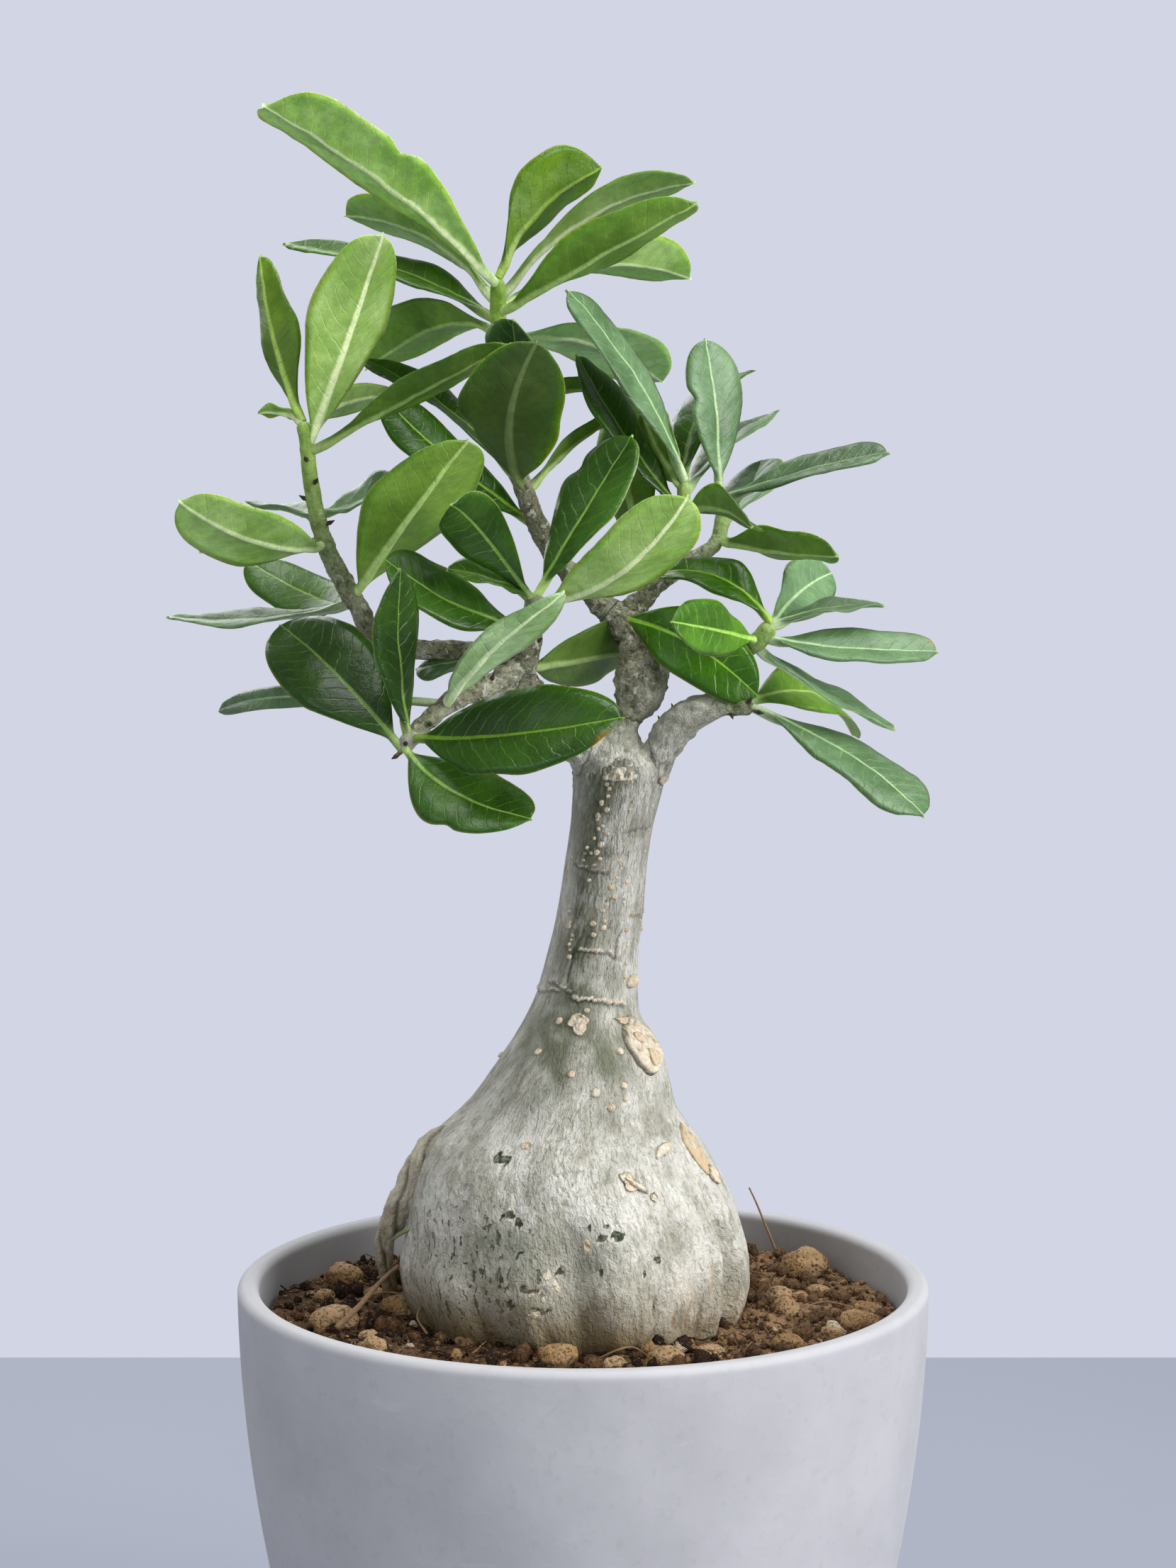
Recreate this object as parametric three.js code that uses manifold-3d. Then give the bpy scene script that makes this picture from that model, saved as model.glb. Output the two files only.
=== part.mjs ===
// A desert rose (Adenium) in a round tapered planter: swollen base, short trunk, forked stems and leaves.
// Millimetres, +Z up, the origin in the middle of the pot's underside.
import * as THREE from "three";
import { mergeVertices } from "three/addons/utils/BufferGeometryUtils.js";
import Module from "manifold-3d";

const wasm = await Module();
wasm.setup();

// ---- driving dimensions -------------------------------------------------------------------------
const GAP = 0.3; // clear space between neighbouring pieces

const pot = {
  height: 175,
  rimRadius: 100,
  footRadius: 65,
  swell: 1.9, // how late the wall turns in towards the foot
  wall: 6.2,
  floor: 7,
  edge: 1.4, // round on the rim's two edges
  heel: 3, // how far the flat underside stops short of the wall
  cove: 4, // how high the inside wall starts above the floor
  drainRadius: 5,
  drainCircle: 40,
  drains: 4,
  drainSides: 16,
  sides: 48,
  ringHeights: [15, 30, 50, 75, 105, 135, 160], // rings up the curved wall, inside and outside
};

const soil = {
  depthBelowRim: 11.5,
  mound: 1.6,
  ripple: 0.7,
  clearance: 0.7, // between the soil and the pot's wall
  sides: 32,
  ringHeights: [30, 60, 95, 130],
  ringShares: [0.86, 0.66, 0.45, 0.22], // rings across the top, as shares of its radius
};

// The swollen base and trunk, from the buried end up: [height, sideways shift, radius].
const trunkRings = [
  [136, -1, 16],
  [148, -1, 30],
  [158, -1.5, 41],
  [166, -2, 46.5],
  [178, -3, 49.5],
  [192, -3.5, 47.5],
  [204, -5, 44.5],
  [215, -5.5, 39],
  [224, -4, 31.5],
  [236, -1, 25.5],
  [245, 0.5, 20.5],
  [251, 0, 16.6],
  [258, 1, 14.4],
  [268, 2.5, 13.1],
  [282, 5, 12.3],
  [295, 6.5, 11.9],
  [309, 8.5, 12],
  [319, 10, 12.9],
  [326, 11, 12],
  [331, 11, 8],
];
const trunkSides = 24;
const trunkLobes = { count: 5, depth: 0.028, turn: 0.4, fadeHeight: 250, fadeOver: 60 };

// Each stem: its path, and its radius at the start and at the end.
const stems = {
  centre: {
    path: [
      [11, 0, 326], [11, 0, 331], [12, 0, 335.5], [15, 1, 342],
      [16.6, 1, 347.5], [17, 2, 354], [14.5, 3, 361], [9, 4, 367],
    ],
    from: 6.4,
    to: 5,
  },
  lowRight: {
    path: [
      [14, -1, 316], [20.6, -3, 325], [24, -5, 332], [28.3, -6, 337.3],
      [34.5, -8, 340.8], [41, -10, 342], [48, -12, 341.3],
    ],
    from: 6.2,
    to: 2.6,
  },
  right: {
    path: [[14, 5, 350], [28, 5, 355], [41, -2, 356.5], [49, -11, 360], [53, -13, 365]],
    from: 4,
    to: 2.5,
  },
  leftFork: {
    path: [[6, 0, 321], [1, -2, 329], [-6, -4, 335.5], [-13, -7, 342], [-17.5, -10, 350]],
    from: 8,
    to: 3.4,
  },
  lowLeft: {
    path: [[-16, -9, 353], [-27, -16, 347], [-35, -21, 345], [-47, -27, 335], [-50, -29, 331]],
    from: 3.2,
    to: 2.2,
  },
  heart: { path: [[-17, -10, 351], [-15, -11, 361], [-13, -12, 373]], from: 2.8, to: 2.2 },
  left: {
    path: [
      [-15, -9, 352], [-27, -3, 356], [-37, 1, 357], [-48, 3, 357], [-59, 5, 359],
      [-64, 6, 368], [-73, 6, 385], [-77, 6, 400], [-79, 5, 417], [-80, 5, 422],
    ],
    from: 3,
    to: 1.8,
  },
  crown: {
    path: [
      [12, 4, 364], [1, 4, 374.5], [-9, 4, 385], [-17, 3, 403],
      [-21, 2, 417], [-23, 2, 435], [-24, 2, 451], [-24, 2, 462],
    ],
    from: 4.3,
    to: 2,
  },
  shoulder: {
    path: [[10, 4, 364], [21, 8, 375], [31, 11, 382], [38, 13, 387], [40, 13, 394], [39, 12, 402]],
    from: 4,
    to: 1.9,
  },
  spur: { path: [[24, 9, 377], [28, 9, 390], [29, 8, 405]], from: 2.2, to: 1.8 },
  airRoot: {
    path: [
      [-37, -7, 218.5], [-41.5, -9, 217], [-44.8, -10.5, 214], [-47.2, -11, 210.1], [-49.2, -11, 205.4],
      [-51, -11, 200.8], [-53, -10, 196.9], [-55.4, -8, 192], [-57, -5, 186.6], [-57.5, -2, 181.1],
      [-57.1, 1, 175.7], [-55.5, 4, 160],
    ],
    from: 3.8,
    to: 2.3,
  },
};
const stemSides = 8;
const stemStep = 7; // length of stem between rings

// Every leaf on its stem. at: place along the stem, 0 to 1. heading: degrees from +X. rise: degrees above
// level. long, wide: blade size. roll: turn about its own length. arch: bow across the blade. sway: bow
// along its edge. fold: how far the halves lift. full: where it is widest. on: its stem, if another bears it.
const leafColumns = ["at", "heading", "rise", "long", "wide", "roll", "arch", "sway", "fold", "full", "on"];
const leaves = {
  lowRight: [
    [0.03, -21, -27, 48, 21, -82, 0.13, 0.09, 15, 0.55, "crown"],
    [0.93, 50, -12, 56, 22, -40, 0.14, 0.06, 15, 0.5],
    [1.00, -42, -24, 65, 22, -11, 0, 0.09, 4, 0.62],
  ],
  right: [
    [1.00, 156, 22, 37, 18, 28, 0.16, -0.05, 14, 0.55],
    [0.87, -124, 9, 46, 16, 87, 0, -0.01, 12, 0.55],
    [0.97, 66, 15, 54, 18, -66, 0.01, 0.04, 12, 0.6],
    [0.90, -12, -4, 50, 20, -28, -0.02, -0.01, 14, 0.58],
    [0.83, -14, -30, 47, 18, -4, -0.03, 0, 14, 0.6],
  ],
  lowLeft: [
    [1.00, 139, 34, 59, 27, 43, 0.12, 0, 7, 0.5],
    [0.60, 142, -4, 89, 7, 81, 0.17, -0.02, 16, 0.6],
    [0.93, -99, 78, 49, 20, 114, -0.04, 0, 2, 0.55],
    [0.62, -45, 35, 58, 18, 8, -0.02, -0.09, 2, 0.55],
    [0.91, -31, 7, 69, 28, -57, 0.05, -0.06, 13, 0.5],
    [0.98, -37, -21, 48, 24, -37, 0.01, -0.1, 2, 0.5],
  ],
  heart: [
    [0.88, -116, 30, 57, 17, 131, -0.15, -0.03, 2, 0.6],
    [1.00, 16, 58, 53, 24, -31, 0.01, 0, 14, 0.6],
    [0.90, -41, 29, 63, 28, 22, -0.1, 0.04, 12, 0.62],
    [0.54, -164, 26, 47, 20, 53, -0.08, 0, 14, 0.6],
    [0.08, 38, 6, 44, 24, 54, -0.03, 0, 14, 0.5],
  ],
  left: [
    [0.93, -22, 68, 65, 28, 34, 0.02, 0.02, 24, 0.6],
    [1.00, 130, 67, 52, 18, -95, -0.05, 0, 22, 0.52],
    [0.92, -28, 24, 73, 18, 14, 0.01, 0.01, 16, 0.72],
    [0.77, 5, 25, 26, 18, -21, -0.09, 0, 18, 0.6],
    [0.69, -131, 13, 57, 25, -32, -0.12, 0.01, 6, 0.6],
    [0.75, 124, 5, 35, 20, 0, 0.05, -0.01, 14, 0.62],
    [0.53, 128, 10, 60, 19, 31, -0.15, -0.06, 2, 0.6],
    [0.53, 171, -5, 56, 19, 12, -0.05, 0.01, 11, 0.6],
    [0.54, -46, 42, 67, 31, 14, 0.02, 0, 10, 0.56],
  ],
  crown: [
    [0.98, -139, 29, 92, 31, -12, -0.01, 0.07, 24, 0.74],
    [0.93, 136, 24, 71, 24, -39, 0.09, 0.03, 14, 0.66],
    [0.89, 149, 18, 79, 21, 13, 0.03, -0.06, 15, 0.5],
    [1.00, 25, 45, 46, 29, 53, 0.08, -0.06, 26, 0.7],
    [0.94, 12, 31, 67, 23, 24, 0.11, -0.02, 12, 0.62],
    [0.91, -37, 22, 74, 25, 15, -0.02, -0.03, 24, 0.62],
    [0.92, 39, 9, 73, 26, 26, 0.1, -0.05, 20, 0.62],
    [0.86, 127, -7, 70, 27, -22, 0.13, -0.02, 24, 0.6],
    [0.84, 43, -9, 66, 28, 18, 0.09, -0.02, 8, 0.62],
    [0.61, -81, 68, 33, 24, -124, -0.06, -0.02, 12, 0.66],
    [0.45, -84, 42, 60, 29, 19, -0.07, -0.08, 2, 0.56],
    [0.34, 167, 39, 61, 17, 41, 0, 0.03, 2, 0.62],
    [0.46, 138, 29, 77, 16, 6, 0.06, -0.01, 18, 0.62],
    [0.71, 41, 2, 43, 12, 24, 0.01, 0, 16, 0.66],
  ],
  shoulder: [
    [0.32, 108, 67, 64, 21, -132, -0.07, -0.05, 14, 0.66],
    [1.00, 155, 84, 44, 20, 29, 0.03, -0.01, 10, 0.6],
    [0.95, -21, 15, 52, 19, -28, 0.03, 0, 16, 0.6],
    [0.83, 66, 29, 37, 22, 15, -0.05, -0.02, 12, 0.6],
    [0.74, -36, -6, 41, 20, 33, -0.03, 0.01, 24, 0.55],
  ],
  spur: [
    [1.00, 194, 57, 64, 20, 41, 0.05, -0.02, 4, 0.6],
    [0.66, 179, 56, 55, 18, 35, -0.02, 0.01, 15, 0.6],
    [0.90, 63, 38, 57, 21, 17, 0.12, 0.03, 14, 0.62],
    [0.86, 58, 24, 59, 18, 11, 0.05, 0.01, 12, 0.6],
    [0.70, -62, -6, 39, 18, 45, 0.08, -0.02, 20, 0.55],
  ],
};
const leafThick = 0.9;
const leafStations = [0, 0.15, 0.35, 0.55, 0.75, 0.91, 1]; // rings along a leaf
const leafTipBlunt = 0.45; // smaller is blunter
const stalkHalf = 0.8; // half the width of a leaf stalk

// Loose lumps of pumice on the soil: [x, y, radius].
const stones = [
  [-71, -14, 6.5],
  [-72, 34, 5.7],
  [68, 48, 6.8],
  [79, -15, 5.1],
  [59, -3, 5],
];
const stoneShape = {
  sides: 10,
  rings: 7,
  bump: 0.1,
  dent: 0.07,
  deep: 0.85, // front to back, as a share of the radius
  tall: 0.7,
  lift: 0.35, // middle above the soil's level, as a share of the radius
};

const looks = {
  pot: { color: 0xa8a9ad, roughness: 0.85, metalness: 0 },
  soil: { color: 0x2e2117, roughness: 0.95, metalness: 0 },
  bark: { color: 0x9c9f86, roughness: 0.8, metalness: 0 },
  leaf: { color: 0x4d7a2a, roughness: 0.4, metalness: 0 },
  stone: { color: 0xb08a5c, roughness: 0.9, metalness: 0 },
};

// ---- helpers ------------------------------------------------------------------------------------
const vec = ([x, y, z]) => new THREE.Vector3(x, y, z);
const mix = (a, b, t) => a + (b - a) * t;

// A three.js geometry as a manifold-3d solid.
function solid(geometry) {
  const bare = geometry.clone();
  bare.deleteAttribute("normal");
  bare.deleteAttribute("uv");
  const merged = mergeVertices(bare, 1e-4);
  return new wasm.Manifold(
    new wasm.Mesh({
      numProp: 3,
      vertProperties: merged.attributes.position.array,
      triVerts: new Uint32Array(merged.index.array),
    })
  );
}

// A manifold-3d solid as a named three.js mesh.
function piece(name, shape, look) {
  const { vertProperties, triVerts } = shape.getMesh();
  const geometry = new THREE.BufferGeometry();
  geometry.setAttribute("position", new THREE.BufferAttribute(new Float32Array(vertProperties), 3));
  geometry.setIndex(new THREE.BufferAttribute(new Uint32Array(triVerts), 1));
  geometry.computeVertexNormals();
  const mesh = new THREE.Mesh(geometry, new THREE.MeshStandardMaterial(looks[look]));
  mesh.name = name;
  return mesh;
}

// Moves every vertex of a geometry by a function that changes the point in place.
function reshape(geometry, move) {
  const place = geometry.attributes.position;
  const point = new THREE.Vector3();
  for (let i = 0; i < place.count; i++) {
    move(point.fromBufferAttribute(place, i));
    place.setXYZ(i, point.x, point.y, point.z);
  }
  return geometry;
}

// A closed solid of revolution about Z from [radius, height] points that start and end on the axis.
function turned(points, sides) {
  const profile = points.map(([r, z]) => new THREE.Vector2(r, z));
  return new THREE.LatheGeometry(profile, sides).rotateX(Math.PI / 2);
}

// ---- pot ----------------------------------------------------------------------------------------
const potOuter = (z) =>
  pot.rimRadius - (pot.rimRadius - pot.footRadius) * ((pot.height - z) / pot.height) ** pot.swell;
const potInner = (z) => potOuter(z) - pot.wall;

function makePot() {
  const top = pot.height;
  const mouth = pot.rimRadius - pot.wall;
  const profile = [
    [0, 0],
    [potOuter(0) - pot.heel, 0],
    [potOuter(pot.heel), pot.heel],
    ...pot.ringHeights.map((z) => [potOuter(z), z]),
    [pot.rimRadius, top - pot.edge],
    [pot.rimRadius - pot.edge, top],
    [mouth + pot.edge, top],
    [mouth, top - pot.edge],
    ...pot.ringHeights.map((z) => [potInner(z), z]).reverse(),
    [potInner(pot.floor + pot.cove), pot.floor + pot.cove],
    [potInner(pot.floor) - pot.cove, pot.floor],
    [0, pot.floor],
  ];
  let shape = solid(turned(profile, pot.sides));
  for (let i = 0; i < pot.drains; i++) {
    const angle = ((i + 0.5) / pot.drains) * Math.PI * 2;
    const drill = new THREE.CylinderGeometry(pot.drainRadius, pot.drainRadius, pot.floor * 3, pot.drainSides);
    drill.rotateX(Math.PI / 2);
    drill.translate(pot.drainCircle * Math.cos(angle), pot.drainCircle * Math.sin(angle), pot.floor / 2);
    shape = shape.subtract(solid(drill));
  }
  return shape;
}

// ---- plant --------------------------------------------------------------------------------------
// The base and trunk: a cylinder whose rings take the heights, shifts and radii listed above.
function trunk(extra) {
  const rows = trunkRings.length - 1;
  const shape = new THREE.CylinderGeometry(1, 1, 1, trunkSides, rows).rotateX(Math.PI / 2);
  return reshape(shape, (p) => {
    const [z, shift, radius] = trunkRings[Math.round((p.z + 0.5) * rows)];
    const angle = Math.atan2(p.y, p.x);
    const reach = Math.hypot(p.x, p.y);
    const fade = THREE.MathUtils.clamp((trunkLobes.fadeHeight - z) / trunkLobes.fadeOver, 0, 1);
    const lobe = 1 + trunkLobes.depth * fade * Math.cos(trunkLobes.count * angle + trunkLobes.turn);
    const wide = reach * (radius * lobe + extra);
    p.set(shift + wide * Math.cos(angle), wide * Math.sin(angle), z);
  });
}

const stemCurves = Object.fromEntries(
  Object.entries(stems).map(([name, stem]) => [name, new THREE.CatmullRomCurve3(stem.path.map(vec))])
);

// A round stem that tapers along its path: a cylinder bent onto the curve.
function stemSolid(name, extra) {
  const { from, to } = stems[name];
  const curve = stemCurves[name];
  const steps = Math.max(3, Math.round(curve.getLength() / stemStep));
  const { normals, binormals } = curve.computeFrenetFrames(steps);
  const shape = new THREE.CylinderGeometry(1, 1, 1, stemSides, steps).rotateX(Math.PI / 2);
  return reshape(shape, (p) => {
    const step = Math.round((p.z + 0.5) * steps);
    const radius = mix(from, to, step / steps) + extra;
    const centre = curve.getPointAt(step / steps);
    const across = p.x * radius;
    const along = p.y * radius;
    p.copy(centre).addScaledVector(normals[step], across).addScaledVector(binormals[step], along);
  });
}

// The whole woody part, grown as one piece. extra makes a fatter copy that cuts room in its neighbours.
function makePlant(extra) {
  let shape = solid(trunk(extra));
  for (const name of Object.keys(stems)) shape = shape.add(solid(stemSolid(name, extra)));
  return shape;
}

// ---- leaves -------------------------------------------------------------------------------------
// Half the blade's width at v along it: a round-shouldered paddle that narrows to a short stalk.
function halfWidth(v, { wide, full }) {
  const rise = (leafTipBlunt * full) / (1 - full);
  const peak = full ** rise * (1 - full) ** leafTipBlunt;
  return Math.max((wide / 2) * (v ** rise * (1 - v) ** leafTipBlunt) / peak, stalkHalf);
}

// A leaf: a flat box whose length, width and thickness follow the blade's outline, fold and bow.
function leafSolid(leaf, start) {
  const rings = leafStations.length - 1;
  const shape = new THREE.BoxGeometry(1, 2, 1, rings, 2, 1);
  const bow = (v) => 4 * v * (1 - v);
  const lift = THREE.MathUtils.degToRad(leaf.fold);
  reshape(shape, (p) => {
    const v = leafStations[Math.round((p.x + 0.5) * rings)];
    const half = halfWidth(v, leaf);
    const fold = lift * Math.min(1, v * 4);
    const side = p.y * half;
    const up = Math.abs(side) * Math.sin(fold) + leaf.arch * leaf.long * bow(v) + p.z * leafThick;
    p.set(v * leaf.long, side * Math.cos(fold) + leaf.sway * leaf.long * bow(v), up);
  });
  shape.rotateX(-THREE.MathUtils.degToRad(leaf.roll));
  shape.rotateY(-THREE.MathUtils.degToRad(leaf.rise));
  shape.rotateZ(THREE.MathUtils.degToRad(leaf.heading));
  return shape.translate(start.x, start.y, start.z);
}

function makeLeaves(group, room) {
  for (const [stem, rows] of Object.entries(leaves))
    rows.forEach((row, i) => {
      const leaf = Object.fromEntries(leafColumns.map((key, k) => [key, row[k]]));
      const shape = solid(leafSolid(leaf, stemCurves[leaf.on ?? stem].getPointAt(leaf.at))).subtract(room);
      group.add(piece(`leaf_${stem}_${i + 1}`, shape, "leaf"));
    });
}

// ---- soil and stones ----------------------------------------------------------------------------
const soilLevel = pot.height - soil.depthBelowRim;

// A lumpy stone: a ball whose radius swells and dips with direction, pressed flatter than it is wide.
function stoneSolid([x, y, radius], extra) {
  const { sides, rings, bump, dent, deep, tall, lift } = stoneShape;
  const ball = new THREE.SphereGeometry(1, sides, rings).rotateX(Math.PI / 2);
  return reshape(ball, (p) => {
    const swell = bump * Math.sin(3 * p.x + 2 * p.y + x) + dent * Math.cos(4 * p.y - 3 * p.z + y);
    const size = radius * (1 + swell) + extra;
    p.set(x + p.x * size, y + p.y * size * deep, soilLevel + radius * lift + p.z * size * tall);
  });
}

// The soil fills the pot from its floor: a turned block with a low mound, rippled on top, cut by the plant.
function makeSoil(room) {
  const base = pot.floor + GAP;
  const edge = (z) => potInner(z) - soil.clearance;
  const profile = [
    [0, base],
    [edge(base) - 2 * pot.cove, base],
    [edge(base + pot.cove) - GAP, base + pot.cove],
    ...soil.ringHeights.map((z) => [edge(z), z]),
    [edge(soilLevel), soilLevel],
    ...soil.ringShares.map((part) => [edge(soilLevel) * part, soilLevel + soil.mound * (1 - part)]),
    [0, soilLevel + soil.mound],
  ];
  const shape = turned(profile, soil.sides);
  reshape(shape, (p) => {
    if (p.z > soilLevel) p.z += soil.ripple * Math.sin(p.x * 0.13) * Math.cos(p.y * 0.17);
  });
  let body = solid(shape).subtract(room);
  for (const stone of stones) body = body.subtract(solid(stoneSolid(stone, GAP)));
  return body;
}

// ---- assembly -----------------------------------------------------------------------------------
const group = new THREE.Group();
const room = makePlant(GAP);
group.add(piece("pot", makePot(), "pot"));
group.add(piece("soil", makeSoil(room), "soil"));
group.add(piece("plant_body", makePlant(0), "bark"));
stones.forEach((stone, i) => group.add(piece(`pumice_${i + 1}`, solid(stoneSolid(stone, 0)), "stone")));
makeLeaves(group, room);

export default group;
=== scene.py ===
# A desert rose in its planter: the fine surfaces and finishes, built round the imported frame.
# Lengths in the settings are millimetres and angles are degrees. Meshes are written in metres.
import math
from types import SimpleNamespace
import bpy
import numpy as np
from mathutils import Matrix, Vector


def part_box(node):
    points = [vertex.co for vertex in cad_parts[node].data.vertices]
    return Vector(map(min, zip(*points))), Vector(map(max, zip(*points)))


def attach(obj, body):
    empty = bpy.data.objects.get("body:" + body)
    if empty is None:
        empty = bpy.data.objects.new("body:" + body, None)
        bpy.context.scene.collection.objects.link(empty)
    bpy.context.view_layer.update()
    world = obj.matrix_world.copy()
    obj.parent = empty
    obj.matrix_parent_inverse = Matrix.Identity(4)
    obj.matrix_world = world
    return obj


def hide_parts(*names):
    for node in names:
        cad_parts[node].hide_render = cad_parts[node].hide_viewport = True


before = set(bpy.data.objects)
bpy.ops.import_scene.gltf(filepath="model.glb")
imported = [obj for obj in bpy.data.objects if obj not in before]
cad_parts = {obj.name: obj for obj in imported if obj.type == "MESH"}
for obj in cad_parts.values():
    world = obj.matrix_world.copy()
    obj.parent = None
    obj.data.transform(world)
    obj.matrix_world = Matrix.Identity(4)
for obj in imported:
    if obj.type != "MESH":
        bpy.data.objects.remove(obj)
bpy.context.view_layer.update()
mm = 0.001


# the lowest and highest corner of a frame node, in millimetres
def nodeBox(name):
    low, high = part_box(name)
    return np.array(low) / mm, np.array(high) / mm


potLow, potHigh = nodeBox("pot")
soilTopHeight = nodeBox("soil")[1][2]


# 0 below low, 1 above high, with a smooth bend between
def ease(value, low, high):
    part = np.clip((value - low) / (high - low), 0, 1)
    return part * part * (3 - 2 * part)


# 1 below low, 0 above high, with a smooth bend between
def fall(value, low, high):
    return 1 - ease(value, low, high)


# a bell: 1 at nought, falling away over width
def bell(value, width):
    return np.exp(-((value / width) ** 2))


# angles evenly spaced round a full turn
def fullTurn(count):
    return np.linspace(0, 2 * np.pi, count, endpoint=False)


# value noise from -1 to 1: random numbers on a cubic lattice of the given pitch, blended by a smooth step
def softNoise(points, pitch, seed):
    place = np.asarray(points, float) / pitch
    cell = np.floor(place).astype(np.int64)
    part = place - cell
    part = part * part * (3 - 2 * part)
    total = 0
    for corner in np.ndindex(2, 2, 2):
        at = cell + np.array(corner)
        mixed = at[..., 0] * 73856093 ^ at[..., 1] * 19349663 ^ at[..., 2] * 83492791 ^ seed * 2654435
        mixed = (mixed ^ mixed >> 13) * 1274126177
        value = ((mixed ^ mixed >> 16) & 65535) / 65535
        total = total + value * np.prod(np.where(corner, part, 1 - part), axis=-1)
    return total * 2 - 1


# several layers of soft noise, each half as coarse and half as strong as the one before
def layeredNoise(points, pitch, seed, layers=3):
    return sum(softNoise(points, pitch / 2**i, seed + 7 * i) / 2**i for i in range(layers))


# a smooth curve through rows of numbers: cubic pieces, read at places given in the knots' own measure,
# which is 0 to 1 where no knots are given
def throughRows(rows, at, knots=None):
    rows = np.asarray(rows, float)
    knots = np.linspace(0, 1, len(rows)) if knots is None else knots
    slope = np.gradient(rows, knots, axis=0)
    at = np.clip(np.asarray(at, float), knots[0], knots[-1])
    i = np.clip(np.searchsorted(knots, at, side="right") - 1, 0, len(rows) - 2)
    step = knots[i + 1] - knots[i]
    t = (at - knots[i]) / step
    if rows.ndim > 1:
        t, step = t[..., None], step[..., None]
    a, b = 2 * t**3 - 3 * t**2 + 1, t**3 - 2 * t**2 + t
    return a * rows[i] + b * step * slope[i] + (1 - a) * rows[i + 1] + (t**3 - t**2) * step * slope[i + 1]


# an evenly spaced walk along a centripetal Catmull-Rom curve: the points, the directions and the length
def walk(path, count):
    path = np.asarray(path, float)
    ends = np.vstack([2 * path[0] - path[1], path, 2 * path[-1] - path[-2]])
    fine = []
    for p0, p1, p2, p3 in zip(ends, ends[1:], ends[2:], ends[3:]):
        d0, d1, d2 = (max(np.linalg.norm(b - a), 1e-6) ** 0.5 for a, b in ((p0, p1), (p1, p2), (p2, p3)))
        t1 = ((p1 - p0) / d0 - (p2 - p0) / (d0 + d1) + (p2 - p1) / d1) * d1
        t2 = ((p2 - p1) / d1 - (p3 - p1) / (d1 + d2) + (p3 - p2) / d2) * d1
        t = np.linspace(0, 1, 40)[:, None]
        fine.append(p1 + t1 * t + (3 * (p2 - p1) - 2 * t1 - t2) * t**2 + (2 * (p1 - p2) + t1 + t2) * t**3)
    fine = np.concatenate(fine)
    run = np.concatenate([[0], np.cumsum(np.linalg.norm(np.diff(fine, axis=0), axis=1))])
    places = np.linspace(0, run[-1], count)
    points = np.stack([np.interp(places, run, fine[:, k]) for k in range(3)], axis=1)
    ahead = np.gradient(points, axis=0)
    return points, ahead / np.linalg.norm(ahead, axis=1, keepdims=True), run[-1]


# two directions square to the path at each of its points, carried along without twisting
def carriedFrames(ahead):
    start = np.cross(ahead[0], (0, 0, 1) if abs(ahead[0][2]) < 0.9 else (1, 0, 0))
    across = [start / np.linalg.norm(start)]
    for way in ahead[1:]:
        side = across[-1] - way * np.dot(across[-1], way)
        across.append(side / np.linalg.norm(side))
    across = np.array(across)
    return across, np.cross(ahead, across)


# faces of rings of points, closed round each ring, with one pole point before the first and after the last.
# The points are all the rings in turn, then the first pole, then the last.
def ringFaces(rings, sides):
    ring = np.arange(rings - 1)[:, None] * sides
    side = np.arange(sides)
    after = (side + 1) % sides
    quads = np.stack([ring + side, ring + after, ring + sides + after, ring + sides + side], axis=-1)
    last = (rings - 1) * sides
    first = np.full(sides, rings * sides)
    tris = np.concatenate(
        [np.stack([after, side, first], axis=-1), np.stack([last + side, last + after, first + 1], axis=-1)]
    )
    return quads.reshape(-1, 4), tris


# a new object from points in millimetres, four-cornered and three-cornered faces, and values for each point
def newObject(name, points, quads, tris, values=None, uv=None):
    mesh = bpy.data.meshes.new(name)
    corners = np.concatenate([np.ravel(quads), np.ravel(tris)]).astype(np.int32)
    sizes = np.concatenate([np.full(len(quads), 4), np.full(len(tris), 3)])
    starts = np.concatenate([[0], np.cumsum(sizes)[:-1]]).astype(np.int32)
    mesh.vertices.add(len(points))
    mesh.vertices.foreach_set("co", (np.asarray(points) * mm).astype(np.float32).ravel())
    mesh.loops.add(len(corners))
    mesh.loops.foreach_set("vertex_index", corners)
    mesh.polygons.add(len(starts))
    mesh.polygons.foreach_set("loop_start", starts)
    mesh.update(calc_edges=True)
    mesh.validate()
    for key, value in (values or {}).items():
        addValue(mesh, key, value)
    if uv is not None:
        layer = mesh.uv_layers.new(name="UVMap")
        layer.data.foreach_set("uv", np.asarray(uv, np.float32)[corners].ravel())
    mesh.shade_smooth()
    piece = bpy.data.objects.new(name, mesh)
    bpy.context.scene.collection.objects.link(piece)
    return piece


# one number or one vector for each point, kept in the mesh under a name that materials read
def addValue(mesh, key, value):
    value = np.asarray(value, np.float32)
    kind = "FLOAT_VECTOR" if value.ndim == 2 else "FLOAT"
    store = mesh.attributes.new(key, kind, "POINT")
    store.data.foreach_set("vector" if value.ndim == 2 else "value", value.ravel())


# finishes a piece: its material, its body and the nodes it stands for; slot is not used
def finishPiece(piece, material, slot, *nodes):
    piece.data.materials.clear()
    piece.data.materials.append(material)
    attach(piece, "root")
    if nodes:
        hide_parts(*nodes)
    return piece


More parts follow.
